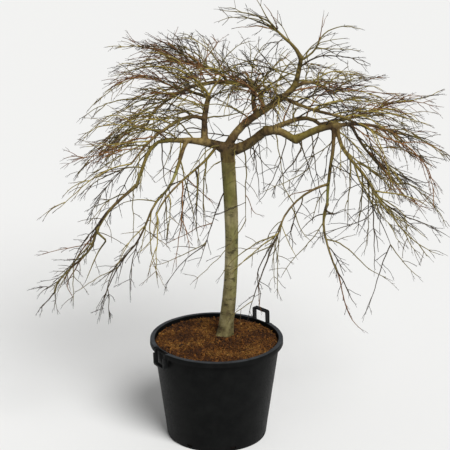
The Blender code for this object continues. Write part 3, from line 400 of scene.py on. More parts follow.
def polygons_mesh(name, verts, faces_by_size):
    # one mesh from arrays: verts (n, 3) and index arrays (m, k)
    mesh = bpy.data.meshes.new(name)
    loops = np.concatenate([f.ravel() for f in faces_by_size]).astype(np.int32)
    totals = np.concatenate([np.full(len(f), f.shape[1]) for f in faces_by_size])
    starts = np.r_[0, np.cumsum(totals)[:-1]].astype(np.int32)
    mesh.vertices.add(len(verts))
    mesh.vertices.foreach_set("co", np.ascontiguousarray(verts, np.float32).ravel())
    mesh.loops.add(len(loops))
    mesh.loops.foreach_set("vertex_index", loops)
    mesh.polygons.add(len(starts))
    mesh.polygons.foreach_set("loop_start", starts)
    mesh.update(calc_edges=True)
    mesh.validate()
    return mesh


def tubes_mesh(name, paths, radii, sides, uneven=0.0):
    counts = np.array([len(p) for p in paths])
    centre = np.concatenate([np.array(p, float) for p in paths])
    radius = np.concatenate([np.array(r, float) for r in radii])
    first = np.r_[0, np.cumsum(counts)[:-1]]
    last = first + counts - 1
    index = np.arange(len(centre))
    after, before = index + 1, index - 1
    after[last] = last
    before[first] = first
    ahead = centre[after] - centre[before]
    ahead /= np.linalg.norm(ahead, axis=1)[:, None]
    span = centre[last] - centre[first]
    ref = np.stack([-span[:, 1], span[:, 0], np.zeros(len(span))], 1)
    small = np.linalg.norm(ref, axis=1) < 0.02 * np.linalg.norm(span, axis=1)
    ref[small] = (1.0, 0.0, 0.0)
    ref /= np.linalg.norm(ref, axis=1)[:, None]
    ref = np.repeat(ref, counts, axis=0)
    side = ref - ahead * (ahead * ref).sum(1)[:, None]
    side /= np.linalg.norm(side, axis=1)[:, None]
    lift = np.cross(ahead, side)
    turn = 2 * math.pi * np.arange(sides) / sides
    ring = side[:, None, :] * np.cos(turn)[None, :, None] + lift[:, None, :] * np.sin(turn)[None, :, None]
    verts = centre[:, None, :] + ring * radius[:, None, None]
    base = np.delete(index, last)
    k = np.arange(sides)
    a = base[:, None] * sides + k
    b = base[:, None] * sides + (k + 1) % sides
    quads = np.stack([a, b, b + sides, a + sides], 2).reshape(-1, 4)
    foot = first[:, None] * sides + k[::-1]
    tip = last[:, None] * sides + k
    mesh = polygons_mesh(name, verts.reshape(-1, 3), [quads, foot, tip])
    mesh.polygons.foreach_set("use_smooth", np.ones(len(mesh.polygons), bool))
    return mesh


def place(name, mesh, material, body="plant", replaces=()):
    obj = bpy.data.objects.new(name, mesh)
    mesh.materials.clear()
    mesh.materials.append(material)
    scene.collection.objects.link(obj)
    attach(obj, body)
    if replaces:
        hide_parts(*replaces)
    return obj


# ---------------------------------------------------------------- materials
def new_material(name, rough=0.8, specular=0.3):
    mat = bpy.data.materials.new(name)
    mat.use_nodes = True
    shader = mat.node_tree.nodes["Principled BSDF"]
    shader.inputs["Roughness"].default_value = rough
    shader.inputs["Specular IOR Level"].default_value = specular
    return mat, mat.node_tree, shader


def node(tree, kind, **values):
    made = tree.nodes.new(kind)
    for key, value in values.items():
        setattr(made, key, value)
    return made


def noise_node(tree, coords, scale, detail=4.0, rough=0.6, stretch=None):
    if stretch:
        mapping = node(tree, "ShaderNodeMapping")
        mapping.inputs["Scale"].default_value = stretch
        tree.links.new(coords, mapping.inputs["Vector"])
        coords = mapping.outputs["Vector"]
    made = node(tree, "ShaderNodeTexNoise")
    made.inputs["Scale"].default_value = scale
    made.inputs["Detail"].default_value = detail
    made.inputs["Roughness"].default_value = rough
    tree.links.new(coords, made.inputs["Vector"])
    return made.outputs["Fac"]


def ramp(tree, value, stops):
    made = node(tree, "ShaderNodeValToRGB")
    while len(made.color_ramp.elements) < len(stops):
        made.color_ramp.elements.new(0.5)
    for element, (at, colour) in zip(made.color_ramp.elements, stops):
        element.position = at
        element.color = (*colour, 1.0)
    tree.links.new(value, made.inputs["Fac"])
    return made.outputs["Color"]


def mix(tree, factor, a, b, kind="MIX"):
    made = node(tree, "ShaderNodeMix", data_type="RGBA", blend_type=kind)
    for socket, value in ((made.inputs["Factor"], factor), (made.inputs["A"], a), (made.inputs["B"], b)):
        if isinstance(value, bpy.types.NodeSocket):
            tree.links.new(value, socket)
        else:
            socket.default_value = value if isinstance(value, float) else (*value, 1.0)
    return made.outputs["Result"]


def bump(tree, shader, height, strength, distance):
    made = node(tree, "ShaderNodeBump")
    made.inputs["Strength"].default_value = strength
    made.inputs["Distance"].default_value = distance
    tree.links.new(height, made.inputs["Height"])
    tree.links.new(made.outputs["Normal"], shader.inputs["Normal"])


def painted_shade_under_light_on_top(tree, base, under, top):
    # painted shade on the underside and painted light on the top, set by which way the surface faces and multiplied
    # into the colour
    split = node(tree, "ShaderNodeSeparateXYZ")
    tree.links.new(node(tree, "ShaderNodeNewGeometry").outputs["Normal"], split.inputs["Vector"])
    facing = node(tree, "ShaderNodeMapRange")
    facing.inputs["From Min"].default_value = -0.75
    facing.inputs["From Max"].default_value = 0.75
    tree.links.new(split.outputs["Z"], facing.inputs["Value"])
    tone = ramp(tree, facing.outputs["Result"], [(0.0, (under, under * 0.95, under * 0.92)), (0.5, (0.85, 0.84, 0.83)), (1.0, (top, top, top * 0.92))])
    return mix(tree, 1.0, base, tone, "MULTIPLY")


def bark_material(name, light, mid, dark, moss, marks, mark_depth):
    mat, tree, shader = new_material(name, 0.78, 0.25)
    coords = node(tree, "ShaderNodeTexCoord").outputs["Object"]
    broad = noise_node(tree, coords, 9.0, 4.0, 0.6)
    base = ramp(tree, broad, [(0.32, dark), (0.48, mid), (0.66, light)])
    green = noise_node(tree, coords, 5.0, 3.0, 0.55, (1.0, 1.0, 0.5))
    green = ramp(tree, green, [(0.45, (0, 0, 0)), (0.62, (1, 1, 1))])
    base = mix(tree, green, base, moss)
    fine = noise_node(tree, coords, 70.0, 5.0, 0.7, (1.0, 1.0, 0.35))
    fine_tone = ramp(tree, fine, [(0.3, (0.66, 0.62, 0.6)), (0.7, (1.22, 1.2, 1.15))])
    base = mix(tree, 1.0, base, fine_tone, "MULTIPLY")
    rings = noise_node(tree, coords, 15.0, 3.0, 0.75, (1.0, 1.0, marks))
    ring_tone = ramp(tree, rings, [(0.36, (mark_depth, mark_depth * 0.93, mark_depth * 0.88)), (0.45, (1, 1, 1))])
    base = mix(tree, 1.0, base, ring_tone, "MULTIPLY")
    # browner and darker below the fork
    split = node(tree, "ShaderNodeSeparateXYZ")
    tree.links.new(coords, split.inputs["Vector"])
    height = node(tree, "ShaderNodeMapRange")
    height.inputs["From Min"].default_value = 1.10
    height.inputs["From Max"].default_value = 1.50
    tree.links.new(split.outputs["Z"], height.inputs["Value"])
    browner = mix(tree, 1.0, base, (0.74, 0.62, 0.46), "MULTIPLY")
    base = mix(tree, height.outputs["Result"], base, mix(tree, broad, browner, base))
    # painted shade on the bark's downward faces and painted light on its upward faces
    base = painted_shade_under_light_on_top(tree, base, 0.32, 1.25)
    tree.links.new(base, shader.inputs["Base Color"])
    bump(tree, shader, fine, 0.35, 0.0012)
    return mat


def twig_material(name, colour, rough=0.75):
    mat, tree, shader = new_material(name, rough, 0.25)
    coords = node(tree, "ShaderNodeTexCoord").outputs["Object"]
    fac = noise_node(tree, coords, 60.0, 2.0, 0.5)
    low = tuple(c * 0.82 for c in colour)
    high = tuple(c * 1.18 for c in colour)
    # painted shade on downward faces and painted light on upward faces of every piece given this look
    tree.links.new(painted_shade_under_light_on_top(tree, ramp(tree, fac, [(0.3, low), (0.7, high)]), 0.30, 1.38), shader.inputs["Base Color"])
    return mat


bark_trunk = bark_material("bark_of_trunk", (0.370, 0.335, 0.190), (0.205, 0.180, 0.080), (0.070, 0.048, 0.022), (0.185, 0.190, 0.052), 3.2, 0.34)
bark_limb = bark_material("bark_of_limbs", (0.275, 0.215, 0.088), (0.098, 0.066, 0.028), (0.030, 0.018, 0.010), (0.175, 0.150, 0.038), 1.0, 0.32)
SPRAY_COLOURS = [
    ((0.140, 0.112, 0.034), (0.072, 0.050, 0.020), (0.040, 0.026, 0.015)),
    ((0.165, 0.078, 0.027), (0.112, 0.044, 0.020), (0.056, 0.025, 0.015)),
    ((0.050, 0.036, 0.020), (0.028, 0.019, 0.013), (0.022, 0.015, 0.011)),
    ((0.230, 0.180, 0.046), (0.145, 0.098, 0.028), (0.066, 0.040, 0.018)),
]

# ---------------------------------------------------------------- skeleton
def trunk_point(s):
    return Vector((TRUNK_FOOT[0] + TRUNK_LEAN[0] * s + TRUNK_BOW * math.sin(math.pi * max(s, 0.0) ** 0.9),
                   TRUNK_FOOT[1] + TRUNK_LEAN[1] * s,
                   SOIL_Z + (TRUNK_TOP_Z - SOIL_Z) * s))


def trunk_radius(s):
    height = (TRUNK_TOP_Z - SOIL_Z) * s
    base = TRUNK_R_FOOT + (TRUNK_R_MID - TRUNK_R_FOOT) * min(1.0, max(s, 0.0) / 0.55)
    if s > 0.55:
        base += (TRUNK_R_TOP - TRUNK_R_MID) * ((s - 0.55) / 0.45) ** 2
    return base + FLARE * math.exp(-max(height, -0.01) / FLARE_HEIGHT * 1.6)


coarse = {"trunk": [trunk_point(k / 14) for k in range(15)]}
limb_radius = {"trunk": (TRUNK_R_MID, TRUNK_R_TOP)}
fine_paths, fine_radii = {}, {}
knuckles = []
for name, parent, at, heading, rise, length, r0, r1 in LIMBS:
    start = along(coarse[parent], at)[0]
    if at == 1.0:
        start = start + direction(heading, rise, 0.0) * (TIP_STEP * r0)
    steps = max(4, round(length / 0.050))
    coarse[name] = run_path(start, heading, rise, length, steps)
    limb_radius[name] = (r0, r1)
    # a finer copy for the bark, with small knuckles where twigs once left it
    count = max(14, round(length / 0.009))
    points, radii = [], []
    seed = rng.random() * 100
    for k in range(count + 1):
        s = k / count
        here = along(coarse[name], s)[0]
        swell = 1.0 + 0.07 * noise.noise(Vector((s * length * 26, seed, 1.0))) + 0.09 * max(0.0, noise.noise(Vector((s * length * 60, seed, 7.0))))
        flare = 1.0 + 0.42 * math.exp(-s * length / (1.1 * r0 + 0.004))
        points.append(here + Vector((noise.noise(Vector((s * length * 16, seed, 2.0))), noise.noise(Vector((s * length * 16, seed, 3.0))),
                                     noise.noise(Vector((s * length * 16, seed, 4.0))))) * min(0.0022, r0 * 0.18))
        radii.append((r0 + (r1 - r0) * s) * swell * flare)
    if at == 1.0:
        # the last stretch inside the limb it carries on from
        back = (points[1] - points[0]).normalized()
        points.insert(0, points[0] - back * (TIP_STEP * r0 + 0.6 * r0))
        radii.insert(0, min(radii[0], limb_radius[parent][1] * 0.94))
        knuckles.append((coarse[parent][-1], max(limb_radius[parent][1], r0) * 1.03))
    fine_paths[name], fine_radii[name] = points, radii

# ---------------------------------------------------------------- bark mesh of the trunk and the thick boughs
THICK = 0.0094
thick_names = [row[0] for row in LIMBS if row[6] > THICK]
thin_names = [row[0] for row in LIMBS if row[6] <= THICK]

trunk_count = 110
trunk_pts = [trunk_point(-0.012 + 1.012 * k / trunk_count) for k in range(trunk_count + 1)]
trunk_rad = [trunk_radius(-0.012 + 1.012 * k / trunk_count) for k in range(trunk_count + 1)]
trunk_mesh = tubes_mesh("trunk_form", [trunk_pts], [trunk_rad], 40)
co = np.empty(len(trunk_mesh.vertices) * 3, np.float32)
trunk_mesh.vertices.foreach_get("co", co)
co = co.reshape(-1, 3)
for i, (x, y, z) in enumerate(co):
    height = z - SOIL_Z
    centre = trunk_point(min(1.0, max(0.0, height / (TRUNK_TOP_Z - SOIL_Z))))
    out = Vector((x - centre.x, y - centre.y, 0.0))
    turn = math.atan2(out.y, out.x)
    amount = LOBE_DEPTH * math.exp(-max(height, 0.0) / FLARE_HEIGHT) * math.cos(FLARE_LOBES * turn + 0.8)
    amount += 0.03 * math.cos(2 * turn + 9.0 * height) + 0.035 * noise.noise(Vector((math.cos(turn) * 1.3, math.sin(turn) * 1.3, z * 6.0)))
    co[i, 0] += out.x * amount
    co[i, 1] += out.y * amount
trunk_mesh.vertices.foreach_set("co", co.ravel())

core_mesh = tubes_mesh("core_form", [fine_paths[n] for n in thick_names],
                       [[r + 0.0007 * max(0.0, 1.0 - r / 0.012) for r in fine_radii[n]] for n in thick_names], 20)
# scars of cut shoots on the stem: short stubs that the remesh melts in
stubs, stub_radii = [], []
for height, turn, size in ((0.30, -70, 0.010), (0.52, 160, 0.009), (0.74, -20, 0.008), (0.86, 230, 0.010), (0.95, -100, 0.007)):
    centre = trunk_point(height)
    out = unit(turn, 25)
    r = trunk_radius(height)
    stubs.append([centre + out * (r * 0.5), centre + out * (r * 0.95), centre + out * (r + 0.0035)])
    stub_radii.append([size * 1.5, size * 1.15, size * 0.6])
stub_mesh = tubes_mesh("stub_form", stubs, stub_radii, 14)

bm = bmesh.new()
for part in (trunk_mesh, core_mesh, stub_mesh):
    bm.from_mesh(part)
for where, size in knuckles:
    if size > 0.0052:
        bmesh.ops.create_uvsphere(bm, u_segments=18, v_segments=12, radius=size, matrix=Matrix.Translation(where))
joined = bpy.data.meshes.new("core_joined")
bm.to_mesh(joined)
bm.free()
temp = bpy.data.objects.new("core_joined", joined)
scene.collection.objects.link(temp)
mod = temp.modifiers.new("voxels", "REMESH")
mod.mode = "VOXEL"
mod.voxel_size = 0.0029
mod.adaptivity = 0.0
mod = temp.modifiers.new("soften", "SMOOTH")
mod.factor = 0.5
mod.iterations = 5
bpy.context.view_layer.update()
bark = bpy.data.meshes.new_from_object(temp.evaluated_get(bpy.context.evaluated_depsgraph_get()))
bpy.data.objects.remove(temp)
co = np.empty(len(bark.vertices) * 3, np.float32)
bark.vertices.foreach_get("co", co)
co = co.reshape(-1, 3)
nv = np.empty(len(bark.vertices) * 3, np.float32)
bark.vertices.foreach_get("normal", nv)
nv = nv.reshape(-1, 3)
lift = np.empty(len(co), np.float32)
for i, (x, y, z) in enumerate(co.tolist()):
    stem = min(1.0, max(0.0, (1.58 - z) / 0.06))
    grain = noise.noise(Vector((x * 150, y * 150, z * (24 if stem > 0.5 else 110))))
    rings = noise.noise(Vector((x * 22, y * 22, z * 190)))
    lumps = noise.noise(Vector((x * 38, y * 38, z * 20)))
    lift[i] = 0.00042 * grain + 0.00034 * stem * min(rings, 0.25) + 0.0009 * lumps
co += nv * lift[:, None]
bark.vertices.foreach_set("co", co.ravel())
bark.polygons.foreach_set("use_smooth", np.ones(len(bark.polygons), bool))
bark.update()
# the stem and the boughs are two closed pieces of the same surface, cut where the boughs begin
SPLIT_Z = 1.50


def cut_piece(name, clear_above):
    bm = bmesh.new()
    bm.from_mesh(bark)
    bmesh.ops.bisect_plane(bm, geom=bm.verts[:] + bm.edges[:] + bm.faces[:], plane_co=(0, 0, SPLIT_Z), plane_no=(0, 0, 1),
                           clear_outer=clear_above, clear_inner=not clear_above)
    bmesh.ops.holes_fill(bm, edges=[e for e in bm.edges if e.is_boundary], sides=0)
    out = bpy.data.meshes.new(name)
    bm.to_mesh(out)
    bm.free()
    out.polygons.foreach_set("use_smooth", [len(p.vertices) < 5 for p in out.polygons])
    return out


stem_piece = place("stem_bark", cut_piece("stem_bark", True), bark_trunk, replaces=("trunk",))
bough_piece = place("bough_bark", cut_piece("bough_bark", False), bark_limb, replaces=thick_names)
thin_mesh = tubes_mesh("limb_bark", [fine_paths[n] for n in thin_names], [fine_radii[n] for n in thin_names], 10)
limb_piece = place("limb_bark", thin_mesh, bark_limb, replaces=thin_names)

# ---------------------------------------------------------------- twigs
LOW = Vector(cad_low) - Vector((0.045, 0.035, 0.0))
HIGH = Vector(cad_high) + Vector((0.045, 0.035, 0.035))
twigs = {"bough": [[] for _ in SPRAY_COLOURS], "twig": [[] for _ in SPRAY_COLOURS], "twiglet": [[] for _ in SPRAY_COLOURS]}


def inside(p):
    # within the CAD box, clear of the pot and its handles
    floor_z = 0.66 if math.hypot(p.x, p.y) > 0.46 else 0.58
    if math.hypot(p.x, p.y) > 0.24 and floor_z == 0.58:
        floor_z = 0.645
    return LOW.x < p.x < HIGH.x and LOW.y < p.y < HIGH.y and floor_z < p.z < HIGH.z


def pick_colour(style):
    draw = rng.random()
    for i, share in enumerate(COLOUR_SHARE[style]):
        draw -= share
        if draw <= 0:
            return i
    return 0


def shoot(start, first, goal, length, step, waver, droop):
    """A path that leaves along first and bends towards goal, with a small turn at each node."""
    steps = max(2, round(length / step))
    heading = first.copy()
    curl = Vector((rng.gauss(0, 1), rng.gauss(0, 1), rng.gauss(0, 0.8))) * (1.1 * length / steps)
    points = [start.copy()]
    for i in range(steps):
        s = (i + 1) / steps
        heading = heading.lerp(goal, min(1.0, (0.25 + 0.9 * s) * 1.5 / steps))
        heading.z -= droop * s / steps
        side = -1.0 if i % 2 else 1.0
        heading += Vector((rng.gauss(0, waver), rng.gauss(0, waver), rng.gauss(0, waver) * 0.8))
        heading += heading.cross(UP) * (side * waver * 0.8) + curl
        heading.normalize()
        nxt = points[-1] + heading * (length / steps)
        if not inside(nxt):
            break
        points.append(nxt)
    return points


def taper(points, r0, r1, power=1.0):
    n = len(points) - 1
    return [r0 + (r1 - r0) * (k / n) ** power for k in range(n + 1)]


def side_direction(ahead, angle, turn):
    across = ahead.cross(UP)
    if across.length < 0.05:
        across = Vector((1.0, 0.0, 0.0))
    across.normalize()
    over = across.cross(ahead).normalized()
    out = across * math.cos(turn) + over * math.sin(turn)
    return (ahead * math.cos(angle) + out * math.sin(angle)).normalized()


def bud(here, ahead, turn, colour):
    first = side_direction(ahead, math.radians(rng.uniform(35, 60)), turn)
    size = rng.uniform(0.005, 0.010)
    twigs["twiglet"][colour].append(([here, here + first * size * 0.55, here + first * size], [0.0011, 0.0012, 0.0005]))


def tip_fork(points, colour, size):
    """The pair of short twiglets, or buds, that a twig ends in."""
    ahead = (points[-1] - points[-2]).normalized()
    turn = rng.uniform(0, math.pi)
    for k in (0, 1):
        if rng.random() > 0.75:
            bud(points[-1], ahead, turn + math.pi * k, colour)
            continue
        first = side_direction(ahead, math.radians(rng.uniform(18, 40)), turn + math.pi * k)
        path = shoot(points[-1], first, (ahead + Vector((0, 0, -0.1))).normalized(), size * rng.uniform(0.5, 1.2), 0.014, 0.05, 0.0)
        if len(path) > 2:
            twigs["twiglet"][colour].append((path, taper(path, 0.00110, 0.00085)))


def grow_twiglets(points, colour, style, thick):
    spacing, length, chance = STYLES[style][3:]
    total = sum((b - a).length for a, b in zip(points, points[1:]))
    count = int(total / spacing)
    for j in range(count):
        s = (j + 0.5 + 0.35 * rng.random()) / count
        if s > 0.97:
            continue
        here, ahead = along(points, s)
        turn = rng.choice((0.0, math.pi / 2)) + rng.gauss(0, 0.35)
        for k in (0, 1):
            if rng.random() > chance:
                if rng.random() < 0.35:
                    bud(here, ahead, turn + math.pi * k, colour)
                continue
            size = length * (1.15 - 0.6 * s) * rng.uniform(0.4, 1.35)
            first = side_direction(ahead, math.radians(rng.uniform(34, 60)), turn + math.pi * k)
            goal = (ahead * 0.8 + first * 0.55 + Vector((0, 0, -0.10))).normalized()
            path = shoot(here, first, goal, size, 0.016, 0.09, 0.03)
            if len(path) < 3:
                continue
            twigs["twiglet"][colour].append((path, taper(path, min(0.00125, thick), 0.00085)))


def grow_twigs(points, radii, colour, style, scale=1.0, from_s=0.10):
    spacing, length, chance = STYLES[style][:3]
    total = sum((b - a).length for a, b in zip(points, points[1:]))
    count = max(1, int(total / spacing))
    for j in range(count):
        s = (j + 0.3 + 0.4 * rng.random()) / count
        if s < from_s:
            continue
        here, ahead = along(points, min(s, 0.99))
        upright = rng.random() < 0.30
        turn = (math.pi / 2 if upright else 0.0) + rng.gauss(0, 0.35)
        for k in (0, 1):
            if rng.random() > chance:
                if rng.random() < 0.4:
                    bud(here, ahead, turn + math.pi * k, colour)
                continue
            size = length * scale * (1.15 - 0.55 * s) * rng.choice((0.35, 0.7, 1.0, 1.3)) * rng.uniform(0.8, 1.2)
            if upright:
                size *= 0.7
            wide = style in ("hang", "light")
            first = side_direction(ahead, math.radians(rng.uniform(42, 72) if wide else rng.uniform(34, 60)), turn + math.pi * k)
            goal = (ahead * (0.35 if wide else 0.75) + first * 0.75 + Vector((0, 0, 0.02 if wide else -0.12))).normalized()
            path = shoot(here, first, goal, size, 0.024, 0.105, 0.04 if wide else 0.10)
            if len(path) < 3:
                continue
            r = min(radii[min(len(radii) - 1, int(s * len(radii)))] * 0.85, 0.0015 + 0.0065 * size)
            thick = taper(path, r, 0.00115)
            twigs["twig"][colour].append((path, thick))
            grow_twiglets(path, colour, style, r)
            tip_fork(path, colour, 0.026)


def grow_leader(start, heading, rise, length, r0, colour, style, scale=1.0, before=None, carry=False):
    steps = max(5, round(length / 0.024))
    points = [start.copy()]
    sway = [rng.gauss(0, 0.05 if carry else 0.10) for _ in range(4)]
    for i in range(steps):
        s = (i + 0.5) / steps
        ahead = direction(heading, rise, s)
        across = ahead.cross(UP)
        if across.length > 0.05:
            across.normalize()
        ahead = ahead + across * (sway[0] * math.sin(7 * s + sway[1] * 30) + (0.09 if (i // 2) % 2 else -0.09))
        ahead.z += sway[2] * math.sin(6 * s + sway[3] * 30) + rng.gauss(0, 0.08)
        nxt = points[-1] + ahead.normalized() * (length / steps)
        if not inside(nxt):
            break
        points.append(nxt)
    if len(points) < 4:
        return None
    thick = taper(points, r0, 0.00150, 0.9)
    full, full_r = points, thick
    if before is not None:
        full, full_r = [before] + points, [r0 * 0.96] + thick
    twigs["bough"][colour].append((full, full_r))
    grow_twigs(points, thick, colour, style, scale)
    tip_fork(points, colour, 0.034)
    return points


def grow_branchlets(points, r_at, colour, style, count, length):
    """Finer leaders that leave a leader and carry twigs of their own."""
    for j in range(count):
        s = (j + 0.3 + 0.5 * rng.random()) / (count + 0.4)
        here, ahead = along(points, min(0.95, s + 0.08))
        h = math.degrees(math.atan2(ahead.y, ahead.x))
        r = math.degrees(math.asin(max(-1.0, min(1.0, ahead.z))))
        sign = 1 if rng.random() < 0.5 else -1
        spread = sign * rng.uniform(22, 46)
        lift = rng.gauss(10, 14)
        size = length * rng.uniform(0.45, 1.0) * (1.1 - 0.5 * s)
        grow_leader(here, (h + spread, h + spread * 0.8, h + spread * 0.5), (min(75, r + lift), r + lift * 0.3 - 4, max(-84, r - 14)),
                    size, min(r_at * 0.8, 0.0016 + 0.0080 * size), colour, style, 0.85)


# the leading shoots first: each may carry others
for name, limb, at, heading, rise, length, r0, style in SHOOTS:
    if limb not in coarse:
        continue
    here, ahead = along(coarse[limb], at)
    made = grow_leader(here, heading, rise, length, r0, pick_colour(style), style, 1.0,
                       before=(here - ahead * 0.012) if at > 0.99 else None, carry=True)
    if made:
        coarse[name] = made
        limb_radius[name] = (r0, 0.0015)
        if style in ("dense", "middle"):
            grow_branchlets(made, r0, pick_colour(style), style, 2, 0.50 * length)

replaced = []
for mass, limb, (place_0, place_1), count, heading, rise, length, fan, style in SPRAYS:
    host = coarse[limb]
    radii = limb_radius[limb]
    if mass:
        replaced.append(mass)
    for i in range(count):
        colour = pick_colour(style)
        share = i / max(1, count - 1)
        at = place_1 - (place_1 - place_0) * share
        off = 0.0 if i == 0 else fan * (1 if i % 2 else -1) * (0.3 + 0.7 * ((i + 1) // 2) / ((count + 1) // 2)) + rng.gauss(0, 7)
        lift_by = 0.0 if i == 0 else rng.gauss(0, 12)
        here, ahead = along(host, at)
        r_here = radii[0] + (radii[1] - radii[0]) * at
        size = length * (1.0 if i == 0 else (1.0 - 0.25 * abs(off) / max(fan, 1)) * rng.uniform(0.65, 1.0))
        size += (1.0 - at) * 0.25 * length
        h = (heading[0] + off, heading[1] + off * 0.75, heading[2] + off * 0.45)
        r = (rise[0] + lift_by + 8, rise[1] + lift_by, rise[2] + lift_by)
        at_tip = at > 0.99
        thick = r_here if at_tip and i == 0 else min(r_here * 0.66, 0.0020 + 0.0085 * size)
        made = grow_leader(here, h, r, size, thick, colour, style, before=(here - ahead * 0.02) if at_tip and i == 0 else None)
        if made:
            grow_branchlets(made, thick, colour, style, {"dense": 3, "middle": 2, "light": 1, "hang": 1}[style], 0.55 * size)

for limb, spacing, length, angle, lifts, style in LIMB_SHOOTS:
    host = coarse[limb]
    radii = limb_radius[limb]
    total = sum((b - a).length for a, b in zip(host, host[1:]))
    count = int(total / spacing)
    for j in range(count):
        at = (j + 0.35 + 0.4 * rng.random()) / count
        if at < 0.14:
            continue
        here, ahead = along(host, at)
        colour = pick_colour(style)
        base_heading = math.degrees(math.atan2(ahead.y, ahead.x))
        base_rise = math.degrees(math.asin(max(-1.0, min(1.0, ahead.z))))
        sign = 1 if j % 2 else -1
        spread = angle + rng.gauss(0, 13)
        h = (base_heading + sign * spread, base_heading + sign * spread * 0.8, base_heading + sign * spread * 0.55)
        shift = rng.gauss(0, 12)
        r = tuple(max(-86.0, min(80.0, base_rise + lifts[k] + shift)) for k in range(3))
        size = length * rng.uniform(0.5, 1.2) * (1.1 - 0.35 * at)
        r_here = radii[0] + (radii[1] - radii[0]) * at
        thick = min(r_here * 0.6, 0.0018 + 0.0085 * size)
        made = grow_leader(here, h, r, size, thick, colour, style)
        if made and style != "light":
            grow_branchlets(made, thick, colour, style, 2, 0.6 * size)

piece_tris = {}
masses_left = list(replaced)
for kind, sides, piece_name, shade in (("bough", 5, "branchlets", 0), ("twig", 4, "twigs", 1), ("twiglet", 3, "twiglets", 2)):
    for colour, members in enumerate(twigs[kind]):
        if not members:
            continue
        chunks = 1
        segs = sum(len(p) for p, _ in members)
        tris = segs * sides * 2
        while tris / chunks > 180000:
            chunks += 1
        for c in range(chunks):
            part = members[c::chunks]
            name = "%s_%d" % (piece_name, colour) + ("_%d" % c if chunks > 1 else "")
            mesh = tubes_mesh(name, [p for p, _ in part], [r for _, r in part], sides)
            stands_for = masses_left if (kind == "twig" and colour == 0 and c == 0) else ()
            place(name, mesh, twig_material(name + "_colour", SPRAY_COLOURS[colour][shade]), replaces=stands_for)
            piece_tris[name] = tris // chunks
print("TRIS", piece_tris, sum(piece_tris.values()), "stem", len(stem_piece.data.polygons) * 2, "boughs", len(bough_piece.data.polygons) * 2,
      "leaders", sum(map(len, twigs["bough"])), "twigs", sum(map(len, twigs["twig"])), "twiglets", sum(map(len, twigs["twiglet"])))

# ---------------------------------------------------------------- bark mulch on the substrate
soil_mat, tree, shader = new_material("mulch_ground", 0.95, 0.15)
coords = node(tree, "ShaderNodeTexCoord").outputs["Object"]
grain = noise_node(tree, coords, 120.0, 6.0, 0.75)
ground_tone = ramp(tree, grain, [(0.3, (0.018, 0.007, 0.003)), (0.5, (0.085, 0.031, 0.006)), (0.72, (0.17, 0.072, 0.013))])
split = node(tree, "ShaderNodeSeparateXYZ")
tree.links.new(coords, split.inputs["Vector"])
depth = node(tree, "ShaderNodeMapRange")
depth.inputs["From Min"].default_value = 0.42
depth.inputs["From Max"].default_value = 0.50
tree.links.new(split.outputs["Z"], depth.inputs["Value"])
tree.links.new(mix(tree, depth.outputs["Result"], (0.010, 0.007, 0.005), ground_tone), shader.inputs["Base Color"])
bump(tree, shader, grain, 0.8, 0.004)
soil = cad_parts["substrate"]
soil.data.materials.clear()
soil.data.materials.append(soil_mat)


def ground_height(x, y):
    r = math.hypot(x, y)
    edge = max(0.0, (r - 0.22) / 0.105)
    mound = 0.006 * math.exp(-((x - TRUNK_FOOT[0]) ** 2 + (y - TRUNK_FOOT[1]) ** 2) / 0.010)
    return SOIL_Z + 0.0035 - 0.004 * edge * edge + mound + 0.003 * noise.noise(Vector((x * 14, y * 14, 3.0)))


rings_n, spokes = 46, 120
verts = [(0.0, 0.0, ground_height(0.0, 0.0))]
for i in range(1, rings_n + 1):
    r = (SOIL_R - 0.0005) * (i / rings_n) ** 0.75
    for k in range(spokes):
        a = 2 * math.pi * k / spokes
        x, y = r * math.cos(a), r * math.sin(a)
        z = ground_height(x, y) + 0.0035 * noise.noise(Vector((x * 75, y * 75, 1.0)))
        if i == rings_n:
            z = SOIL_Z - 0.014
        verts.append((x, y, z))
tris = np.array([(0, 1 + k, 1 + (k + 1) % spokes) for k in range(spokes)])
quads = np.array([(1 + i * spokes + k, 1 + (i + 1) * spokes + k, 1 + (i + 1) * spokes + (k + 1) % spokes, 1 + i * spokes + (k + 1) % spokes)
                  for i in range(rings_n - 1) for k in range(spokes)])
under = len(verts)
verts.append((0.0, 0.0, SOIL_Z - 0.014))
outer = 1 + (rings_n - 1) * spokes
tris = np.concatenate([tris, np.array([(under, outer + (k + 1) % spokes, outer + k) for k in range(spokes)])])
ground = polygons_mesh("mulch_bed", np.array(verts), [tris, quads])
ground.polygons.foreach_set("use_smooth", np.ones(len(ground.polygons), bool))
place("mulch_bed", ground, soil_mat)

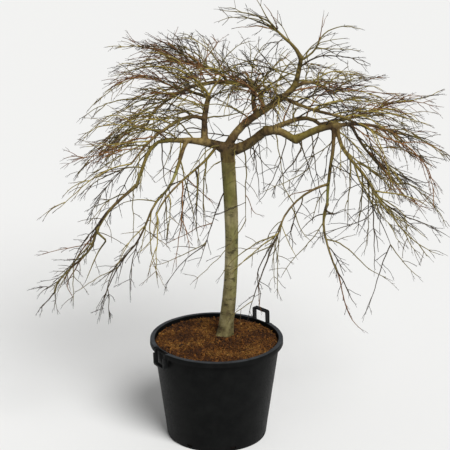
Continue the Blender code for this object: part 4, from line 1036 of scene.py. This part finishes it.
CHIP_COLOURS = [(0.018, 0.007, 0.003), (0.058, 0.021, 0.004), (0.112, 0.040, 0.006), (0.150, 0.058, 0.010), (0.200, 0.098, 0.022)]
CHIP_SHARE = [0.22, 0.60, 0.88, 0.985, 1.0]
chips = [[] for _ in CHIP_COLOURS]
faces = np.array([(0, 3, 2, 1), (4, 5, 6, 7), (0, 1, 5, 4), (1, 2, 6, 5), (2, 3, 7, 6), (3, 0, 4, 7)])
for _ in range(9500):
    r = (SOIL_R - 0.010) * math.sqrt(rng.random())
    a = rng.uniform(0, 2 * math.pi)
    x, y = r * math.cos(a), r * math.sin(a)
    if math.hypot(x - TRUNK_FOOT[0], y - TRUNK_FOOT[1]) < 0.040:
        continue
    long = rng.uniform(0.005, 0.012) * (1.6 if rng.random() < 0.10 else 1.0)
    wide = long * rng.uniform(0.16, 0.62)
    thick = rng.uniform(0.0012, 0.0032)
    corners = []
    for cz in (-1, 1):
        for cx, cy in ((-1, -1), (1, -1), (1, 1), (-1, 1)):
            shrink = rng.uniform(0.6, 1.0)
            corners.append(Vector((cx * long * shrink / 2 * 1.6, cy * wide * shrink / 2 * 1.6, cz * thick / 2 * rng.uniform(0.6, 1.2))))
    tilt = rng.gauss(0, 0.38)
    spin = Matrix.Rotation(rng.uniform(0, 2 * math.pi), 3, "Z") @ Matrix.Rotation(tilt, 3, "Y") @ Matrix.Rotation(rng.gauss(0, 0.3), 3, "X")
    z = ground_height(x, y) + 0.0022 + abs(tilt) * long * 0.3 + rng.uniform(-0.001, 0.0025)
    pick = min(0.999, max(0.0, rng.random() + 0.55 * noise.noise(Vector((x * 8, y * 8, 21.0))) + 0.20 * noise.noise(Vector((x * 40, y * 40, 8.0)))))
    tone = next(i for i, limit in enumerate(CHIP_SHARE) if pick <= limit)
    chips[tone].append([spin @ c + Vector((x, y, z)) for c in corners])
fibres = {"pale": ([], []), "dark": ([], [])}
for _ in range(1700):
    r = (SOIL_R - 0.014) * math.sqrt(rng.random())
    a = rng.uniform(0, 2 * math.pi)
    x, y = r * math.cos(a), r * math.sin(a)
    if math.hypot(x - TRUNK_FOOT[0], y - TRUNK_FOOT[1]) < 0.045:
        continue
    turn = rng.uniform(0, 2 * math.pi)
    bow = rng.gauss(0, 0.5)
    long = rng.uniform(0.014, 0.046)
    path = []
    for k in range(5):
        path.append(Vector((x, y, ground_height(x, y) + 0.0054 + 0.0024 * math.sin(math.pi * k / 4))))
        x += math.cos(turn + bow * k / 4) * long / 4
        y += math.sin(turn + bow * k / 4) * long / 4
    if max(math.hypot(p.x, p.y) for p in path) < SOIL_R - 0.008:
        # pale coir lies in drifts between darker, wetter patches
        drift = noise.noise(Vector((path[0].x * 8, path[0].y * 8, 21.0))) + rng.gauss(0, 0.18)
        paths, radii = fibres["pale" if drift > 0.08 else "dark"]
        paths.append(path)
        radii.append([0.0005, 0.0008, 0.0009, 0.0008, 0.0005])
for kind, colour in (("pale", (0.165, 0.072, 0.016)), ("dark", (0.050, 0.018, 0.006))):
    name = "mulch_fibres_" + kind
    place(name, tubes_mesh(name, fibres[kind][0], fibres[kind][1], 4), twig_material(name + "_look", colour, 0.9))
for tone, members in enumerate(chips):
    verts = np.array([v for chip in members for v in chip], float)
    index = (np.arange(len(members))[:, None, None] * 8 + faces[None]).reshape(-1, 4)
    mesh = polygons_mesh("mulch_chips_%d" % tone, verts, [index])
    place("mulch_chips_%d" % tone, mesh, twig_material("mulch_%d" % tone, CHIP_COLOURS[tone], 0.9))

# ---------------------------------------------------------------- pot
POT_HEIGHT = 0.545
POT_BASE_R = 0.2635
POT_TOP_R = 0.333
WALL = 0.0045
POT_FLOOR_Z = 0.012
LIP_R = 0.3515
LIP_DEPTH = 0.027
LIP_WALL = 0.004
DRAIN_COUNT = 7
HINGE_R = 0.3400
HINGE_Z = 0.5335
ROD_R = 0.0032
LIP_GAP = 0.1150
LUG = 0.012
STRAP_SPAN = 0.106
STRAP_HEIGHT = 0.082
STRAP_THICK = 0.0075
STRAP_IN = 0.0098
STRAP_OUT = 0.0062
HANDLES = (("rear", 44.0, -2.0), ("front", 212.0, 182.0))

pot_mat, tree, shader = new_material("pot_plastic_look", 0.46, 0.065)
coords = node(tree, "ShaderNodeTexCoord").outputs["Object"]
dust = noise_node(tree, coords, 14.0, 5.0, 0.65)
split = node(tree, "ShaderNodeSeparateXYZ")
tree.links.new(coords, split.inputs["Vector"])
# painted highlight: the top few millimetres of the rim, its upward face, get a much lighter grey than the black body
height = node(tree, "ShaderNodeMapRange")
height.inputs["From Min"].default_value = 0.5425
height.inputs["From Max"].default_value = 0.5452
tree.links.new(split.outputs["Z"], height.inputs["Value"])
body_tone = ramp(tree, dust, [(0.35, (0.0024, 0.0027, 0.0027)), (0.7, (0.0058, 0.0062, 0.0060))])
lip_top_painted_highlight = ramp(tree, dust, [(0.35, (0.026, 0.028, 0.031)), (0.7, (0.060, 0.065, 0.070))])
tree.links.new(mix(tree, height.outputs["Result"], body_tone, lip_top_painted_highlight), shader.inputs["Base Color"])
scuff = noise_node(tree, coords, 90.0, 4.0, 0.6)
tree.links.new(ramp(tree, scuff, [(0.3, (0.40, 0.40, 0.40)), (0.7, (0.58, 0.58, 0.58))]), shader.inputs["Roughness"])
bump(tree, shader, scuff, 0.12, 0.0006)

strap_mat, tree, shader = new_material("strap_plastic_look", 0.46, 0.14)
coords = node(tree, "ShaderNodeTexCoord").outputs["Object"]
worn = noise_node(tree, coords, 60.0, 4.0, 0.6)
tree.links.new(ramp(tree, worn, [(0.3, (0.0045, 0.0050, 0.0052)), (0.72, (0.0120, 0.0125, 0.0128))]), shader.inputs["Base Color"])
bump(tree, shader, worn, 0.10, 0.0004)

pot_slope = (POT_TOP_R - POT_BASE_R) / (POT_HEIGHT - LIP_DEPTH)


def pot_wall_r(z):
    return min(POT_TOP_R, POT_BASE_R + pot_slope * z)


def rim_matrix(azimuth, radius, z, run_by=0.0):
    # local X runs along the rim, local Y up and local Z outwards
    a = math.radians(azimuth)
    out = Vector((math.cos(a), math.sin(a), 0.0))
    run = Vector((-math.sin(a), math.cos(a), 0.0))
    turn = Matrix((run, Vector((0, 0, 1)), out)).transposed().to_4x4()
    spot = out * radius + run * run_by
    turn.translation = (spot.x, spot.y, z)
    return turn


def loose(name, bm):
    mesh = bpy.data.meshes.new(name)
    bmesh.ops.recalc_face_normals(bm, faces=bm.faces)
    bm.to_mesh(mesh)
    bm.free()
    obj = bpy.data.objects.new(name, mesh)
    scene.collection.objects.link(obj)
    return obj


def turned_form(name, profile, segments):
    # a closed profile turned round the pot's axis; points on the axis are shared
    bm = bmesh.new()
    rings = []
    for r, z in profile:
        if r < 1e-6:
            rings.append([bm.verts.new((0.0, 0.0, z))])
        else:
            rings.append([bm.verts.new((r * math.cos(2 * math.pi * k / segments), r * math.sin(2 * math.pi * k / segments), z))
                          for k in range(segments)])
    for a, b in zip(rings, rings[1:] + rings[:1]):
        for k in range(segments):
            corners = [a[k % len(a)], a[(k + 1) % len(a)], b[(k + 1) % len(b)], b[k % len(b)]]
            corners = list(dict.fromkeys(corners))
            if len(corners) > 2:
                bm.faces.new(corners)
    return loose(name, bm)


def block_form(name, size, where, bevel=0.0):
    bm = bmesh.new()
    bmesh.ops.create_cube(bm, size=1.0)
    bmesh.ops.scale(bm, vec=size, verts=bm.verts)
    if bevel:
        bmesh.ops.bevel(bm, geom=bm.edges[:], offset=bevel, segments=2, affect="EDGES", profile=0.5)
    bmesh.ops.transform(bm, matrix=where, verts=bm.verts)
    return loose(name, bm)


def round_form(name, radius, length, where, segments=20):
    bm = bmesh.new()
    bmesh.ops.create_cone(bm, cap_ends=True, segments=segments, radius1=radius, radius2=radius, depth=length,
                          matrix=where @ Matrix.Rotation(math.pi / 2, 4, "Y"))
    return loose(name, bm)


def carve(obj, others):
    # join and cut with closed forms, then keep the result as one plain mesh
    for other, operation in others:
        mod = obj.modifiers.new(other.name, "BOOLEAN")
        mod.operation = operation
        mod.solver = "EXACT"
        mod.object = other
    bpy.context.view_layer.update()
    mesh = bpy.data.meshes.new_from_object(obj.evaluated_get(bpy.context.evaluated_depsgraph_get()))
    bpy.data.objects.remove(obj)
    for other, _ in others:
        bpy.data.objects.remove(other)
    mesh.shade_smooth()
    mesh.set_sharp_from_angle(angle=math.radians(32))
    return mesh


SEGMENTS = 144
wall = turned_form("wall_form", [
    (0.0, POT_FLOOR_Z), (pot_wall_r(POT_FLOOR_Z) - WALL, POT_FLOOR_Z), (POT_TOP_R - WALL, POT_HEIGHT - LIP_DEPTH),
    (POT_TOP_R - WALL, POT_HEIGHT - 0.0008), (POT_TOP_R - WALL + 0.0008, POT_HEIGHT), (POT_TOP_R, POT_HEIGHT), (POT_TOP_R, POT_HEIGHT - LIP_DEPTH),
    (pot_wall_r(0.30) + 0.0004, 0.30), (pot_wall_r(0.296), 0.296), (pot_wall_r(0.10) + 0.0004, 0.10), (pot_wall_r(0.096), 0.096),
    (POT_BASE_R + 0.0030, 0.014), (POT_BASE_R + 0.0015, 0.008), (POT_BASE_R - 0.0010, 0.002), (POT_BASE_R - 0.004, 0.0), (0.0, 0.0)], SEGMENTS)
lip = turned_form("lip_form", [
    (POT_TOP_R - 0.002, POT_HEIGHT), (LIP_R - 0.0042, POT_HEIGHT), (LIP_R - 0.0016, POT_HEIGHT - 0.0010), (LIP_R, POT_HEIGHT - 0.0036),
    (LIP_R + 0.0010, POT_HEIGHT - LIP_DEPTH + 0.0015), (LIP_R + 0.0005, POT_HEIGHT - LIP_DEPTH), (LIP_R + 0.001 - LIP_WALL, POT_HEIGHT - LIP_DEPTH),
    (LIP_R - LIP_WALL, POT_HEIGHT - LIP_WALL), (POT_TOP_R - 0.002, POT_HEIGHT - LIP_WALL)], SEGMENTS)
gaps = [(block_form("gap_" + side, (LIP_GAP, 0.06, 0.08), rim_matrix(azimuth, HINGE_R, HINGE_Z)), "DIFFERENCE") for side, azimuth, _ in HANDLES]
# the gap's cutter is only as deep as the lip, so the wall behind stays whole
lip_mesh = carve(lip, gaps)
lip = bpy.data.objects.new("lip_cut", lip_mesh)
scene.collection.objects.link(lip)
joins = [(lip, "UNION")]
for side, azimuth, _ in HANDLES:
    for end in (-1, 1):
        joins.append((block_form("lug_%s_%d" % (side, end), (LUG, LIP_DEPTH - 0.006, 0.0165),
                                 rim_matrix(azimuth, HINGE_R - 0.0015, POT_HEIGHT - 0.001 - (LIP_DEPTH - 0.006) / 2, end * (LIP_GAP + LUG - 0.0004) / 2)), "UNION"))
    joins.append((round_form("rod_" + side, ROD_R, LIP_GAP + LUG, rim_matrix(azimuth, HINGE_R, HINGE_Z)), "UNION"))
for i in range(DRAIN_COUNT):
    joins.append((block_form("drain_%d" % i, (0.030, 0.013, 0.020),
                             rim_matrix(-90.0 - 32.0 + i * 360.0 / DRAIN_COUNT, POT_BASE_R - 0.001, POT_FLOOR_Z + 0.001 + 0.0065)), "DIFFERENCE"))
pot_mesh = carve(wall, joins)
pot_mesh.name = "pot_shell"
place("pot_shell", pot_mesh, pot_mat, replaces=("pot",))


def strap_mesh(name, azimuth, turned):
    # a ribbed strap: a loop of two thin flanges with a web and cross ribs between them
    half = STRAP_SPAN / 2
    where = rim_matrix(azimuth, HINGE_R, HINGE_Z) @ Matrix.Rotation(math.radians(turned), 4, "X")
    depth = STRAP_IN + STRAP_OUT
    middle = (STRAP_OUT - STRAP_IN) / 2
    corner_r = 0.012

    def loop(outer, inner_by, z0, z1, foot=-0.0022):
        bm = bmesh.new()

        def outline(off):
            pts = [(half - off, foot)]
            for k in range(7):
                a = math.radians(90 * k / 6)
                pts.append((half - corner_r + (corner_r - off) * math.cos(a), STRAP_HEIGHT - corner_r + (corner_r - off) * math.sin(a)))
            for k in range(7):
                a = math.radians(90 + 90 * k / 6)
                pts.append((-half + corner_r + (corner_r - off) * math.cos(a), STRAP_HEIGHT - corner_r + (corner_r - off) * math.sin(a)))
            pts.append((-half + off, foot))
            return pts
        a, b = outline(outer), outline(inner_by)
        layers = [[bm.verts.new((x, y, z)) for x, y in ring] for z in (z0, z1) for ring in (a, b)]
        oa, ob, ta, tb = layers
        n = len(a)
        for k in range(n - 1):
            bm.faces.new((oa[k], oa[k + 1], ta[k + 1], ta[k]))
            bm.faces.new((ob[k + 1], ob[k], tb[k], tb[k + 1]))
            bm.faces.new((ta[k], ta[k + 1], tb[k + 1], tb[k]))
            bm.faces.new((oa[k + 1], oa[k], ob[k], ob[k + 1]))
        bm.faces.new((oa[0], ta[0], tb[0], ob[0]))
        bm.faces.new((ta[-1], oa[-1], ob[-1], tb[-1]))
        bmesh.ops.transform(bm, matrix=where, verts=bm.verts)
        return loose(name + "_loop", bm)

    low, high = middle - depth / 2, middle + depth / 2
    body = loop(0.0, STRAP_THICK, low, high)
    # a groove along the outside of the loop, left with cross ribs
    groove = loop(-0.004, 0.0022, low + 0.0030, high - 0.0030)
    ribs = []
    for k in range(-4, 5):
        ribs.append(block_form(name + "_rib_t%d" % k, (0.0018, STRAP_THICK - 0.0006, depth - 0.002),
                               where @ Matrix.Translation((k * 0.0095, STRAP_HEIGHT - STRAP_THICK / 2, middle))))
    for side in (-1, 1):
        for k in range(6):
            ribs.append(block_form(name + "_rib_s%d_%d" % (side, k), (STRAP_THICK - 0.0006, 0.0018, depth - 0.002),
                                   where @ Matrix.Translation((side * (half - STRAP_THICK / 2), 0.014 + k * 0.0098, middle))))
    flange = loop(0.0005, STRAP_THICK + 0.0012, -0.0185, low + 0.0012, foot=0.0165)
    steps = [(groove, "DIFFERENCE")] + [(r, "UNION") for r in ribs] + [(flange, "UNION")]
    for end in (-1, 1):
        steps.append((round_form(name + "_eye_%d" % end, 0.0080, 0.0080, where @ Matrix.Translation((end * (half - STRAP_THICK / 2), 0, 0)), 28), "UNION"))
    steps.append((round_form(name + "_hole", 0.0037, STRAP_SPAN + 0.02, where, 20), "DIFFERENCE"))
    mesh = carve(body, steps)
    mesh.name = name
    return mesh


for side, azimuth, turned in HANDLES:
    place("strap_" + side, strap_mesh("strap_" + side, azimuth, turned), strap_mat, body=side + "_handle", replaces=("handle_" + side,))

# ---------------------------------------------------------------- floor and light
floor_mesh = bpy.data.meshes.new("floor")
half = 40.0
floor_mesh.from_pydata([(-half, -half, 0), (half, -half, 0), (half, half, 0), (-half, half, 0)], [], [(0, 1, 2, 3)])
floor = bpy.data.objects.new("floor", floor_mesh)
scene.collection.objects.link(floor)
floor_mat, tree, shader = new_material("floor_pale", 0.9, 0.1)
shader.inputs["Base Color"].default_value = (0.80, 0.80, 0.79, 1.0)
floor_mesh.materials.append(floor_mat)

world = bpy.data.worlds.new("studio")
scene.world = world
world.use_nodes = True
world.node_tree.nodes["Background"].inputs["Color"].default_value = (1.0, 1.0, 1.0, 1.0)
world.node_tree.nodes["Background"].inputs["Strength"].default_value = 0.36

sun = bpy.data.lights.new("key", "SUN")
sun.energy = 3.4
sun.angle = math.radians(34)
sun_obj = bpy.data.objects.new("key", sun)
sun_obj.rotation_euler = Vector((-0.38, 0.68, -0.78)).to_track_quat("-Z", "Y").to_euler()
scene.collection.objects.link(sun_obj)
scene.view_settings.view_transform = "Standard"
scene.view_settings.look = "None"
scene.view_settings.exposure = 0.0
